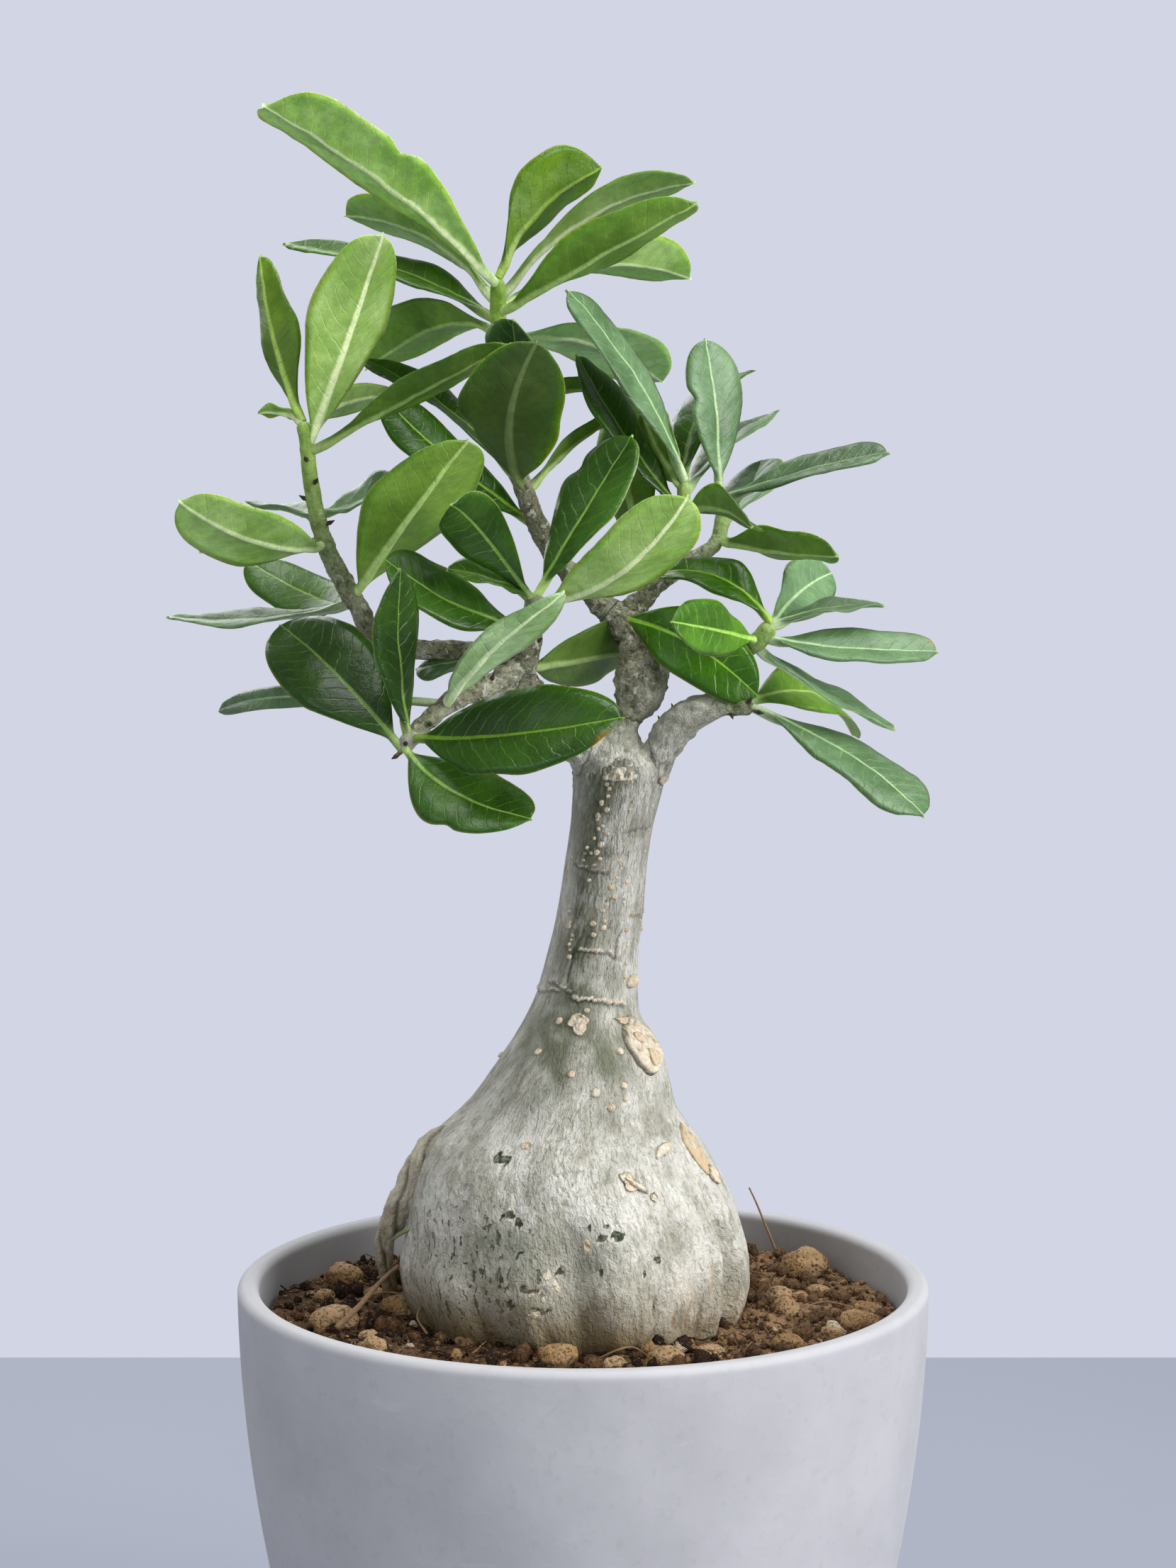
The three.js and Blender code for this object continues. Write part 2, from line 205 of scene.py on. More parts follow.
# Rings of points along a path. The radius is one number for each ring, or one for each point.
# Returns the points, with both poles, and each point's own frame place: across, across, along.
def tubePoints(points, ahead, radius, sides):
    across, second = carriedFrames(ahead)
    turn = fullTurn(sides)
    radius = np.broadcast_to(np.asarray(radius).reshape(len(points), -1), (len(points), sides))
    a, b = radius * np.cos(turn), radius * np.sin(turn)
    rings = points[:, None] + a[..., None] * across[:, None] + b[..., None] * second[:, None]
    run = np.concatenate([[0], np.cumsum(np.linalg.norm(np.diff(points, axis=0), axis=1))])
    own = np.stack([a, b, np.broadcast_to(run[:, None], a.shape)], axis=-1)
    ends = np.array([[0, 0, run[0]], [0, 0, run[-1]]])
    first, last = 0.3 * radius[0].mean() * ahead[0], 0.3 * radius[-1].mean() * ahead[-1]
    poles = np.stack([points[0] - first, points[-1] + last])
    return np.vstack([rings.reshape(-1, 3), poles]), np.vstack([own.reshape(-1, 3), ends])


# A value in a node tree. Arithmetic on it adds the Math nodes, so that a look is written as a formula.
class Wire:
    def __init__(self, socket):
        self.socket, self.tree = socket, socket.id_data

    def __add__(self, other):
        return sums("ADD", self, other)

    def __sub__(self, other):
        return sums("SUBTRACT", self, other)

    def __mul__(self, other):
        return sums("MULTIPLY", self, other)

    def __truediv__(self, other):
        return sums("DIVIDE", self, other)


# the node tree that the wires among some values belong to
def treeOf(*values):
    return next(value.tree for value in values if isinstance(value, Wire))


# puts a wire or a constant into a socket; three numbers for a colour are as it looks on a screen, 0 to 255
def feed(socket, value):
    if isinstance(value, Wire):
        value.tree.links.new(value.socket, socket)
    elif socket.type == "RGBA" and len(value) == 3:
        socket.default_value = screen(*value)
    else:
        socket.default_value = value


# a new node with its sockets fed; returns one of its outputs
def addNode(tree, kind, inputs=None, output=0, **settings):
    node = tree.nodes.new(kind)
    for key, value in settings.items():
        setattr(node, key, value)
    for key, value in (inputs or {}).items():
        feed(node.inputs[key], value)
    return Wire(node.outputs[output])


# one step of arithmetic on numbers or wires
def sums(operation, *values):
    return addNode(treeOf(*values), "ShaderNodeMath", dict(enumerate(values)), operation=operation)


def vectorSums(operation, inputs):
    return addNode(treeOf(*inputs.values()), "ShaderNodeVectorMath", inputs, operation=operation)


# a number brought from one range to another, with a smooth bend
def bend(value, low, high, to0=0.0, to1=1.0):
    inputs = {"Value": value, "From Min": low, "From Max": high, "To Min": to0, "To Max": to1}
    return addNode(value.tree, "ShaderNodeMapRange", inputs, interpolation_type="SMOOTHSTEP")


# colour a turned towards colour b by a share
def mix(share, a, b):
    return addNode(treeOf(share, a, b), "ShaderNodeMix", {0: share, 6: a, 7: b}, 2, data_type="RGBA")


# a colour with coats over it: each coat is a share and the colour that it turns the others towards
def coated(colour, *coats):
    for share, coat in coats:
        colour = mix(share, colour, coat)
    return colour


# a colour given as it looks on a screen, as the linear colour that shaders use
def screen(red, green, blue):
    parts = np.array([red, green, blue]) / 255
    linear = np.where(parts <= 0.04045, parts / 12.92, ((parts + 0.055) / 1.055) ** 2.4)
    return (*(float(x) for x in linear), 1.0)


# a value that was stored on the mesh's points
def stored(tree, key, output="Fac"):
    return addNode(tree, "ShaderNodeAttribute", output=output, attribute_name=key)


def noise(place, scale, detail=3.0, rough=0.5, output=0):
    inputs = {"Vector": place, "Scale": scale, "Detail": detail, "Roughness": rough}
    return addNode(place.tree, "ShaderNodeTexNoise", inputs, output)


def objectPlace(tree):
    return addNode(tree, "ShaderNodeTexCoord", output="Object")


# one number of three: 0 across, 1 back, 2 up
def axis(place, i):
    return addNode(place.tree, "ShaderNodeSeparateXYZ", {0: place}, i)


number, vector = "NodeSocketFloat", "NodeSocketVector"


# a node group that gives numbers: the group, its inputs as wires, and a function that feeds its outputs
def newGroup(name, inputs, outputs):
    group = bpy.data.node_groups.new(name, "ShaderNodeTree")
    for key, kind in inputs.items():
        group.interface.new_socket(key, in_out="INPUT", socket_type=kind)
    for key in outputs:
        group.interface.new_socket(key, in_out="OUTPUT", socket_type=number)
    given, out = group.nodes.new("NodeGroupInput").outputs, group.nodes.new("NodeGroupOutput").inputs

    def put(**values):
        for key, value in values.items():
            feed(out[key], value)

    return group, SimpleNamespace(**{key: Wire(given[key]) for key in inputs}), put


# a group placed in a material: its outputs by name
def useGroup(group, **inputs):
    tree = treeOf(*inputs.values())
    node = tree.nodes.new("ShaderNodeGroup")
    node.node_tree = group
    for key, value in inputs.items():
        feed(node.inputs[key], value)
    return SimpleNamespace(**{socket.name: Wire(socket) for socket in node.outputs})


# a material with a Principled shader: its tree and a function that feeds the shader's own sockets
def newMaterial(name, **fixed):
    material = bpy.data.materials.new(name)
    material.use_nodes = True
    tree = material.node_tree
    shader = tree.nodes["Principled BSDF"]

    def give(**values):
        for key, value in values.items():
            feed(shader.inputs[key.replace("_", " ")], value)

    give(**fixed)
    return material, tree, give


def bump(height, distance, strength=1.0):
    inputs = {"Height": height, "Distance": distance, "Strength": strength}
    return addNode(height.tree, "ShaderNodeBump", inputs)


# Mottle: broad clouds and fine specks, for stone, pottery and soil. Fineness is the scale of the clouds.
mottle, given, put = newGroup("mottle", {"Place": vector, "Fineness": number}, ("Cloud", "Speck", "Height"))
cloud = noise(given.Place, given.Fineness, 5.0, 0.6)
speck = noise(given.Place, given.Fineness * 14.0, 2.0, 0.6)
put(Cloud=bend(cloud, 0.3, 0.7), Speck=bend(speck, 0.56, 0.72), Height=cloud * 0.6 + speck * 0.5)

# Bark: wrinkles from two fields of noise drawn out along the grain, with painted shade in their folds,
# dashes, clouds, and their joint height.
# Place is in metres with its third axis along the grain. Along squeezes that axis, so that marks grow longer.
barkGrain, given, put = newGroup(
    "barkGrain",
    {"Place": vector, "Fineness": number, "Along": number},
    ("Crease", "Dash", "Blotch", "Height"),
)
squeeze = addNode(barkGrain, "ShaderNodeCombineXYZ", {0: 1.0, 1: 1.0, 2: given.Along})
wobble = vectorSums("SCALE", {0: noise(given.Place, 420.0, 2.0, output="Color"), "Scale": 0.0022})
grainy = vectorSums("ADD", {0: vectorSums("MULTIPLY", {0: given.Place, 1: squeeze}), 1: wobble})
folds = noise(grainy, given.Fineness * 760.0, 3.0, 0.6)
lines = noise(grainy, given.Fineness * 1250.0, 2.0, 0.5)
dashes = noise(grainy, given.Fineness * 700.0, 1.0, 0.4)
patches = noise(grainy, given.Fineness * 150.0, 3.0, 0.6)
clouds = noise(given.Place, 60.0, 4.0, 0.65)
grit = noise(given.Place, 2200.0, 2.0, 0.6)
# painted shade: darker where the folds and lines sink in the joint height
crease = sums("MAXIMUM", bend(folds, 0.36, 0.5, 1.0, 0.0), bend(lines, 0.3, 0.46, 0.8, 0.0))
put(
    Crease=crease * bend(patches, 0.3, 0.6, 0.5, 1.0),
    Dash=bend(dashes, 0.625, 0.665),
    Blotch=bend(clouds * 0.6 + patches * 0.4, 0.42, 0.6),
    Height=folds * 1.1 + lines * 0.5 + patches * 0.5 + grit * 0.2,
)

# Veins: side veins that leave the midrib at a slant, and the net between them.
# Blade holds the distance across from the midrib and the distance along, in millimetres.
veins, given, put = newGroup(
    "leafVeins", {"Blade": vector, "Spacing": number, "Slant": number, "Seed": number}, ("Side", "Net")
)
side = axis(given.Blade, 0)
across = sums("ABSOLUTE", side)
drift, kinks = noise(given.Blade, 0.16, 2.0), noise(given.Blade, 0.6, 2.0)
lean = across * given.Slant + sums("POWER", across, 2.0) * 0.03
phase = axis(given.Blade, 1) + drift * 4.0 - lean + kinks * 0.45 + sums("SIGN", side) * 1.3
phase = (phase + given.Seed) / given.Spacing
away = sums("ABSOLUTE", sums("FRACT", phase) - 0.5) * given.Spacing
strength = bend(noise(given.Blade, 0.22, 2.0), 0.35, 0.62, 0.25, 1.0)
inputs = {"Vector": given.Blade, "Scale": 0.55}
cells = addNode(veins, "ShaderNodeTexVoronoi", inputs, feature="DISTANCE_TO_EDGE")
put(Side=strength * bend(away, 0.0, 0.36, 1.0, 0.0), Net=bend(cells, 0.0, 0.09, 1.0, 0.0))

# the camera: its lens, its place in millimetres and how far it looks down
view = {"lens": 72.5, "back": 900, "height": 407.7, "aside": 1.4, "tiltDown": 5.65}
lens = bpy.data.cameras.new("camera")
lens.lens = view["lens"]
camera = bpy.data.objects.new("camera", lens)
camera.location = (view["aside"] * mm, -view["back"] * mm, view["height"] * mm)
camera.rotation_euler = (math.radians(90 - view["tiltDown"]), 0, 0)
bpy.context.scene.collection.objects.link(camera)
bpy.context.scene.camera = camera

# place in metres, where it aims, size in metres, power in watts, colour
lights = {
    "window": ((2.4, -1.4, 1.1), (0, 0, 0.28), 1.8, 96, (1.0, 0.995, 0.985)),
    "sky": ((0.1, -0.1, 1.7), (0, 0, 0.3), 1.1, 24, (1.0, 1.0, 0.99)),
    "fill": ((-1.3, -1.4, 0.8), (0, 0, 0.25), 1.4, 8.5, (0.98, 0.99, 1.0)),
    "behind": ((-0.6, 1.3, 1.0), (0, 0, 0.38), 1.0, 9, (1.0, 1.0, 1.0)),
}
for name, (place, aim, size, power, colour) in lights.items():
    lamp = bpy.data.lights.new(name, "AREA")
    lamp.size = size
    lamp.energy = power
    lamp.color = colour
    holder = bpy.data.objects.new(name, lamp)
    way = np.array(aim) - np.array(place)
    flat = math.hypot(way[0], way[1])
    holder.location = place
    holder.rotation_euler = (math.atan2(flat, -way[2]), 0, math.atan2(way[1], way[0]) - math.pi / 2)
    bpy.context.scene.collection.objects.link(holder)

# the pale room: the colour that the camera sees, and the light that it gives
surround = {"seen": (210, 213, 228), "light": (0.78, 0.80, 0.82, 1.0), "strength": 0.36}
world = bpy.data.worlds.new("surround")
world.use_nodes = True
bpy.context.scene.world = world
tree = world.node_tree
sky = tree.nodes["Background"]
seen = addNode(tree, "ShaderNodeLightPath", output="Is Camera Ray")
feed(sky.inputs["Color"], mix(seen, surround["light"], surround["seen"]))
feed(sky.inputs["Strength"], bend(seen, 0.0, 1.0, surround["strength"], 1.0))
bpy.context.scene.view_settings.view_transform = "Standard"

floorSize = {"aside": 1500, "front": 1400, "back": 527}
xs = np.array([-1, 1, 1, -1]) * floorSize["aside"]
ys = np.array([-floorSize["front"]] * 2 + [floorSize["back"]] * 2)
floor = newObject("floor", np.stack([xs, ys, np.zeros(4)], axis=1), [[0, 1, 2, 3]], np.zeros((0, 3)))
floorLook, tree, give = newMaterial("paleFloor", Roughness=0.7, Specular_IOR_Level=0.2)
give(Base_Color=mix(noise(objectPlace(tree), 3.0), (141, 146, 160), (147, 152, 166)))
floor.data.materials.append(floorLook)
print("camera, lights and floor made")

# the planter: sizes from the outside in, then the drill for its drain holes
pot = {
    "foot": 65, "swell": 1.9, "wall": 6.2, "floor": 7, "edge": 2.2, "heel": 3, "sides": 200,
    "flat": 20, "underEdge": 50, "drain": 5, "drainCircle": 40, "drains": 4, "drillSides": 32,
    "drillPast": 5.0,
}
potHeight = potHigh[2]
rimRadius = (potHigh[0] - potLow[0]) / 2


# the wall's outer radius at a height: the rim's, less a power of the depth below it
def potOuter(height):
    return rimRadius - (rimRadius - pot["foot"]) * ((potHeight - height) / potHeight) ** pot["swell"]


# a quarter round from one direction to the next, as [radius, height] points
def roundEdge(centre, radius, start, end, count=7):
    turn = np.radians(np.linspace(start, end, count))
    return np.stack([centre[0] + radius * np.cos(turn), centre[1] + radius * np.sin(turn)], axis=1)


# A profile of [radius, height] points turned round the upright axis: out along the underside, round the
# heel, up the outer wall, over the flat rim, down the inner wall and in along the floor
def makePot():
    e, wall, base, heel = pot["edge"], pot["wall"], pot["floor"], pot["heel"]
    up = np.linspace(heel + 1, potHeight - e - 0.5, 34)
    down = up[::-1][:-2]
    inside = potOuter(down) - wall
    under = np.array([[pot["flat"], 0.0], [pot["underEdge"], 0.0]])
    over = np.array([[inside[-1] - 4, base], [pot["underEdge"] - 5, base], [pot["flat"], base]])
    profile = np.vstack([
        under,
        roundEdge((potOuter(heel) - heel, heel), heel, -90, -10),
        np.stack([potOuter(up), up], axis=1),
        roundEdge((rimRadius - e, potHeight - e), e, 8, 90),
        roundEdge((rimRadius - wall + e, potHeight - e), e, 90, 176),
        np.stack([inside, down], axis=1),
        over,
    ])
    turn = fullTurn(pot["sides"])
    radius, height = profile[:, :1], profile[:, 1:]
    rings = np.stack([radius * np.cos(turn), radius * np.sin(turn), height + 0 * turn], axis=-1)
    points = np.vstack([rings.reshape(-1, 3), [[0, 0, 0], [0, 0, base]]])
    quads, tris = ringFaces(len(profile), pot["sides"])
    return newObject("planter", points, quads, tris)


# cuts the drain holes: a drill of plain rings for each, taken away by a Boolean modifier that is then applied
def drillDrains(planter):
    sides = pot["drillSides"]
    turn = fullTurn(sides)
    cutters = []
    for i in range(pot["drains"]):
        at = (i + 0.5) / pot["drains"] * 2 * np.pi
        middle = pot["drainCircle"] * np.array([math.cos(at), math.sin(at)])
        ring = middle + pot["drain"] * np.stack([np.cos(turn), np.sin(turn)], axis=1)
        heights = (-pot["drillPast"], pot["floor"] + pot["drillPast"])
        rings = [np.column_stack([ring, np.full(sides, z)]) for z in heights]
        points = np.vstack([*rings, [[*middle, z] for z in heights]])
        cutters.append(newObject(f"drill{i}", points, *ringFaces(2, sides)))
    for cutter in cutters:
        hole = planter.modifiers.new(cutter.name, "BOOLEAN")
        hole.operation, hole.solver, hole.object = "DIFFERENCE", "EXACT", cutter
    applyModifiers(planter)
    for cutter in cutters:
        bpy.data.objects.remove(cutter)


# bakes a piece's modifiers into its mesh
def applyModifiers(piece):
    whole = bpy.context.evaluated_depsgraph_get()
    mesh = bpy.data.meshes.new_from_object(piece.evaluated_get(whole))
    piece.modifiers.clear()
    piece.data = mesh
    mesh.shade_smooth()


potLook, tree, give = newMaterial("pottery", Specular_IOR_Level=0.3)
place = objectPlace(tree)
marks = useGroup(mottle, Place=place, Fineness=22.0)
# painted light: the top few millimetres of the wall and the rim are lighter, as where light from above falls
rimPaintedLight = bend(axis(place, 2), potHeight * mm - 0.004, potHeight * mm - 0.0005)
scuffs = addNode(tree, "ShaderNodeMapping", {"Vector": place, "Scale": (1.0, 1.0, 5.0)})
body = coated(
    mix(marks.Cloud, (170, 170, 175), (182, 182, 187)),
    (marks.Speck * 0.10, (120, 122, 128)),
    (rimPaintedLight * 0.3, (186, 186, 189)),
    (bend(noise(scuffs, 26.0, 6.0, 0.7), 0.63, 0.75, 0.0, 0.3), (204, 205, 210)),
)
give(Base_Color=body, Roughness=bend(marks.Cloud, 0.0, 1.0, 0.62, 0.75))
give(Normal=bump(marks.Height, 0.0004, 0.35))

planter = makePot()
drillDrains(planter)
finishPiece(planter, potLook, "pot_stone", "pot")
print("planter made")

# bark: one look for the swollen base, the trunk, the stems and the root
barkTones = {
    # the crease tone is painted shade, laid in the folds of the wrinkles
    "pale": (216, 214, 206), "shade": (174, 172, 160), "crease": (118, 114, 94), "crack": (52, 52, 38),
    "olive": (118, 122, 102), "cream": (226, 218, 200), "pink": (214, 198, 176),
    # the foot's dark brown tone is a soil stain together with painted shade
    "chip": (60, 68, 48), "tan": (206, 174, 124), "wet": (110, 94, 58), "old": (164, 166, 144),
    "oldDeep": (122, 122, 98), "crust": (104, 88, 60), "green": (146, 182, 76), "greenDeep": (104, 140, 44),
}


def makeBark():
    material, tree, give = newMaterial("bark", Specular_IOR_Level=0.25)
    tone = SimpleNamespace(**barkTones)
    place, grain = objectPlace(tree), stored(tree, "grain", "Vector")
    stem, young = stored(tree, "stem"), stored(tree, "young")
    fine = useGroup(barkGrain, Place=grain, Fineness=1.0, Along=0.42)
    rough = useGroup(barkGrain, Place=grain, Fineness=0.85, Along=0.8)
    fleck = noise(place, 700.0, 2.0)
    ragged = (noise(place, 900.0, 3.0, 0.6) - 0.5) * 1.3

    # a stored mask cut to a crisp ragged edge
    def crisp(key, low=0.42, high=0.58):
        return bend(stored(tree, key) + ragged, low, high)

    dashes, chipped = fine.Dash * stored(tree, "dashes"), crisp("chip")
    smooth = coated(
        mix(fine.Blotch, tone.pale, tone.shade),
        (stored(tree, "olive"), tone.olive),
        # painted shade in the folds of the fine wrinkles
        (fine.Crease * 0.55, tone.crease),
        (stored(tree, "stain") * bend(ragged, -0.3, 0.2, 0.3, 0.85), tone.tan),
        (dashes * 0.85, tone.crack),
    )
    wood = coated(
        mix(rough.Blotch, tone.old, tone.oldDeep),
        # painted shade in the folds of the rough bark
        (rough.Crease * 0.75, tone.crack),
        (rough.Dash * 0.5, tone.pale),
        (young, mix(rough.Blotch, tone.green, tone.greenDeep)),
    )
    creamy = mix(bend(fleck, 0.42, 0.58), tone.cream, tone.pink)
    creamy = mix(stored(tree, "tan") * 0.85, creamy, tone.tan)
    # the darkened foot, a brown soil stain together with painted shade, fades upwards from the soil, and
    # towards the right where the window light falls
    soilLine = soilTopHeight * mm
    stainAndShade = axis(place, 2) + noise(place, 90.0, 3.0) * 0.012
    stainAndShade = bend(stainAndShade, soilLine + 0.004, soilLine + 0.032, 0.9, 0.0)
    stainAndShade = stainAndShade * bend(axis(place, 0), 0.005, 0.03, 1.0, 0.45)
    skin = coated(
        mix(stem, smooth, wood),
        (crisp("cream", 0.3, 0.6), creamy),
        (chipped * bend(fleck, 0.35, 0.6, 0.7, 1.0), tone.chip),
        (stored(tree, "crust"), tone.crust),
        (stored(tree, "dark") * bend(ragged, -0.3, 0.3, 0.65, 1.0), tone.crack),
        (stainAndShade, tone.wet),
    )
    height = addNode(tree, "ShaderNodeMix", {0: stem, 2: fine.Height, 3: rough.Height})
    height = (height - (dashes + chipped) * 0.5) * bend(young, 0.0, 1.0, 1.0, 0.25)
    give(Base_Color=skin, Roughness=bend(young, 0.0, 1.0, 0.72, 0.42), Normal=bump(height, 0.0011))
    return material


barkLook = makeBark()

# the swollen base and trunk: [height, sideways shift, radius] from the buried end up
trunkRings = np.array([
    [136, -1, 16], [148, -1, 30], [158, -1.5, 41], [166, -2, 46.5], [178, -3, 49.5], [192, -3.5, 47.5],
    [204, -5, 44.5], [215, -5.5, 39], [224, -4, 31.5], [236, -1, 25.5], [245, 0.5, 20.5], [251, 0, 16.6],
    [258, 1, 14.4], [268, 2.5, 13.1], [282, 5, 12.3], [295, 6.5, 11.9], [309, 8.5, 12], [319, 10, 12.9],
    [323, 10.5, 13.0], [327, 11, 10.5], [329, 11, 7],
])
trunk = {"sides": 360, "lobes": 5, "lobeDepth": 0.022, "lobeTurn": 0.4, "lobeFade": (190, 250)}
# heights of the mesh's rings: few below the soil, and closer up the slim trunk than on the base
trunkHeights = np.concatenate(
    [np.linspace(136, 160, 9), np.linspace(161, 252, 100), np.linspace(252.5, 329, 160)]
)
# valleys that run down the base: angle, top, bottom, depth, half width in degrees
valleys = [
    (-89, 212, 150, 3.3, 8.0), (-99, 196, 150, 1.0, 3), (-25, 212, 150, 5.0, 3.4), (-62, 182, 150, 0.9, 1.6),
    (-150, 200, 150, 1.6, 9), (-122, 196, 150, 0.8, 5), (28, 206, 150, 2.2, 8), (78, 214, 150, 3.0, 9),
    (128, 198, 150, 1.8, 8), (172, 208, 150, 2.0, 9), (-45, 200, 150, 0.7, 5),
]
# raised rings left by old growth: height at the middle, from angle, to angle, rise, slope
scarRings = [
    (307.3, -80, -18, 0.20, 0.02), (296, -146, -82, 0.3, -0.03), (282, -52, 10, 0.25, -0.03),
    (272, -114, -54, 0.75, -0.045), (258, -112, -38, 0.8, -0.04), (262, -150, -100, 0.35, -0.06),
    (300, 60, 150, 0.4, 0.02), (276, 20, 120, 0.4, -0.02), (260, 150, 240, 0.4, 0.02),
]
# worn green chips in the skin: angle, height, half width, half height
chips = [
    (-116, 216.6, 2.5, 1.2), (-120, 217.6, 0.9, 0.9), (-111, 202.6, 2.3, 1.6), (-107, 201, 1.2, 1.4),
    (-82, 199.8, 0.9, 1.8), (-73, 197.6, 2.0, 1.7), (-77, 200.6, 0.8, 0.7), (-79, 197, 1.7, 1.2),
    (-104, 183, 2.8, 1.2), (-110, 178.5, 2.2, 1.0), (-100, 177, 2.6, 1.0), (-94, 188, 1.4, 1.2),
    (-80, 188, 0.8, 0.7), (-60, 190, 1.8, 1.0), (-66, 187, 0.9, 0.8), (40, 200, 2.8, 1.4),
    (96, 206, 2.6, 1.2), (140, 190, 2.8, 1.5), (160, 212, 2.2, 1.0), (64, 184, 2.4, 1.6),
]
# dark cracks that run up the skin: angle, bottom, top
cracks = [(-62.5, 160, 182), (-116, 262, 274), (-60, 268, 280)]
# the root that left the shoulder and came down outside the soil
airRoot = {
    "path": [
        [-37, -7, 218.5], [-41.5, -9, 217], [-44.8, -10.5, 214], [-47.2, -11, 210.1], [-49.2, -11, 205.4],
        [-51, -11, 200.8], [-53, -10, 196.9], [-55.4, -8, 192], [-57, -5, 186.6], [-57.5, -2, 181.1],
        [-57.1, 1, 175.7], [-55.5, 4, 160],
    ],
    "radii": [3.0, 3.3, 3.6, 3.8, 3.8, 3.6, 3.3, 2.8, 2.3, 2.1, 2.2, 2.9],
    "rings": 150,
    "sides": 44,
}


# the difference between two angles in radians, from minus a half turn to a half turn
def angleGap(turn, degrees):
    return (turn - math.radians(degrees) + np.pi) % (2 * np.pi) - np.pi


# the trunk's sideways shift and its radius at a height
def trunkShape(height):
    return np.moveaxis(throughRows(trunkRings[:, 1:], height, trunkRings[:, 0]), -1, 0)


# the way up the skin, from the lowest ring to each of the mesh's rings
skinSlopes = np.hypot(1, np.gradient(trunkShape(trunkHeights)[1], trunkHeights))
trunkRuns = np.concatenate([[0], np.cumsum(skinSlopes[1:] * np.diff(trunkHeights))])


# The skin of the base and trunk at given angles and heights, to be carved and coloured. It starts as the
# rings with gentle lobes. Flat is the place on the plain rings, and grain is a place that runs up the skin.
class Skin:
    def __init__(self, turn, height):
        self.turn, self.height = turn, height
        self.shift, self.wide = trunkShape(height)
        lobes = np.cos(trunk["lobes"] * turn + trunk["lobeTurn"]) * fall(height, *trunk["lobeFade"])
        self.radius = self.wide * (1 + trunk["lobeDepth"] * lobes)
        x, y = self.wide * np.cos(turn), self.wide * np.sin(turn)
        self.flat = np.stack([self.shift + x, y, height], axis=-1)
        spread = 7 * np.sqrt(self.wide)
        run = np.interp(height, trunkHeights, trunkRuns)
        self.grain = np.stack([spread * np.cos(turn), spread * np.sin(turn), run], axis=-1)
        keys = ("cream", "dark", "chip", "stain", "olive", "dashes")
        self.masks = {key: np.zeros_like(self.radius) for key in keys}

    # a bell round an angle, its half width in degrees
    def near(self, angle, half):
        return bell(np.degrees(angleGap(self.turn, angle)), half)

    # 1 above high and 0 below low
    def above(self, low, high):
        return ease(self.height, low, high)

    # 1 below low and 0 above high
    def below(self, low, high):
        return fall(self.height, low, high)

    # noise with its places along the grain times a share: the smaller the share, the longer the marks
    def drawn(self, share, pitch, seed, layers=3):
        return layeredNoise(self.grain * np.array([1, 1, share]), pitch, seed, layers)

    # millimetres round from an upright line that wanders with the height
    def fromLine(self, angle, wander, pitch, seed):
        up = self.grain * np.array([0, 0, 1.0])
        return angleGap(self.turn, angle) * self.wide + wander * softNoise(up, pitch, seed)

    def raiseBy(self, amount):
        self.radius = self.radius + amount

    def deepen(self, key, value):
        self.masks[key] = np.maximum(self.masks[key], value)


# valleys with raised lips, and painted shade along their floors
def carveValleys(skin):
    wander = layeredNoise(skin.flat, 26, 5) * 0.05
    for angle, top, bottom, depth, half in valleys:
        gap = np.degrees(angleGap(skin.turn + wander, angle))
        reach = skin.above(bottom - 10, bottom + 8) * skin.below(top - 26, top)
        lips = 0.35 * bell(np.abs(gap) - half * 1.9, half)
        skin.raiseBy(depth * reach * (lips - bell(gap, half)))
        # painted shade along the valley floor
        skin.masks["dark"] += 0.13 * bell(gap, half * 0.5) * reach * min(depth / 2.5, 1)


# ring scars: a broken ridge with a ditch under it and a low swelling above; the ditch gets painted shade
def raiseRings(skin):
    jag = 0.55 * skin.drawn(0.2, 2.2, 31) + 0.6 * softNoise(skin.grain, 6, 39)
    broken = ease(softNoise(skin.grain, 3.2, 37), -0.75, -0.3)
    for level, start, end, rise, slope in scarRings:
        gap, half = np.degrees(angleGap(skin.turn, (start + end) / 2)), (end - start) / 2
        span = fall(np.abs(gap), half - 8, half + 4)
        across = skin.height - level - slope * gap - jag
        swelling = 0.3 * ease(across, -0.4, 0.4) * fall(across, 2, 7)
        skin.raiseBy(rise * span * (bell(across, 0.6) * broken - 0.7 * bell(across + 1.0, 0.5) + swelling))
        skin.deepen("cream", span * bell(across, 0.6) * broken * min(1, rise * 1.6))
        # painted shade in the ditch under the ridge
        skin.deepen("dark", 0.55 * span * bell(across + 0.95, 0.38))


# chips sunk in the skin, with cream on parts of their edges
def sinkChips(skin):
    for angle, level, half, tall in chips:
        side, up = angleGap(skin.turn, angle) * skin.wide, skin.height - level
        far = np.hypot(side / half, up / tall) + 0.5 * layeredNoise(skin.flat, 1.8, 51, 2)
        inside = fall(far, 0.85, 1.0)
        skin.raiseBy(-0.4 * inside)
        skin.deepen("chip", inside)
        skin.deepen("cream", 0.8 * bell(far - 1.12, 0.1) * ease(softNoise(skin.flat, 2.0, 53), 0.0, 0.4))
    speckle = ease(skin.drawn(0.6, 1.5, 78, 2), 0.35, 0.6)
    skin.deepen("chip", 0.9 * speckle * skin.near(-106, 12) * bell(skin.height - 188, 13))
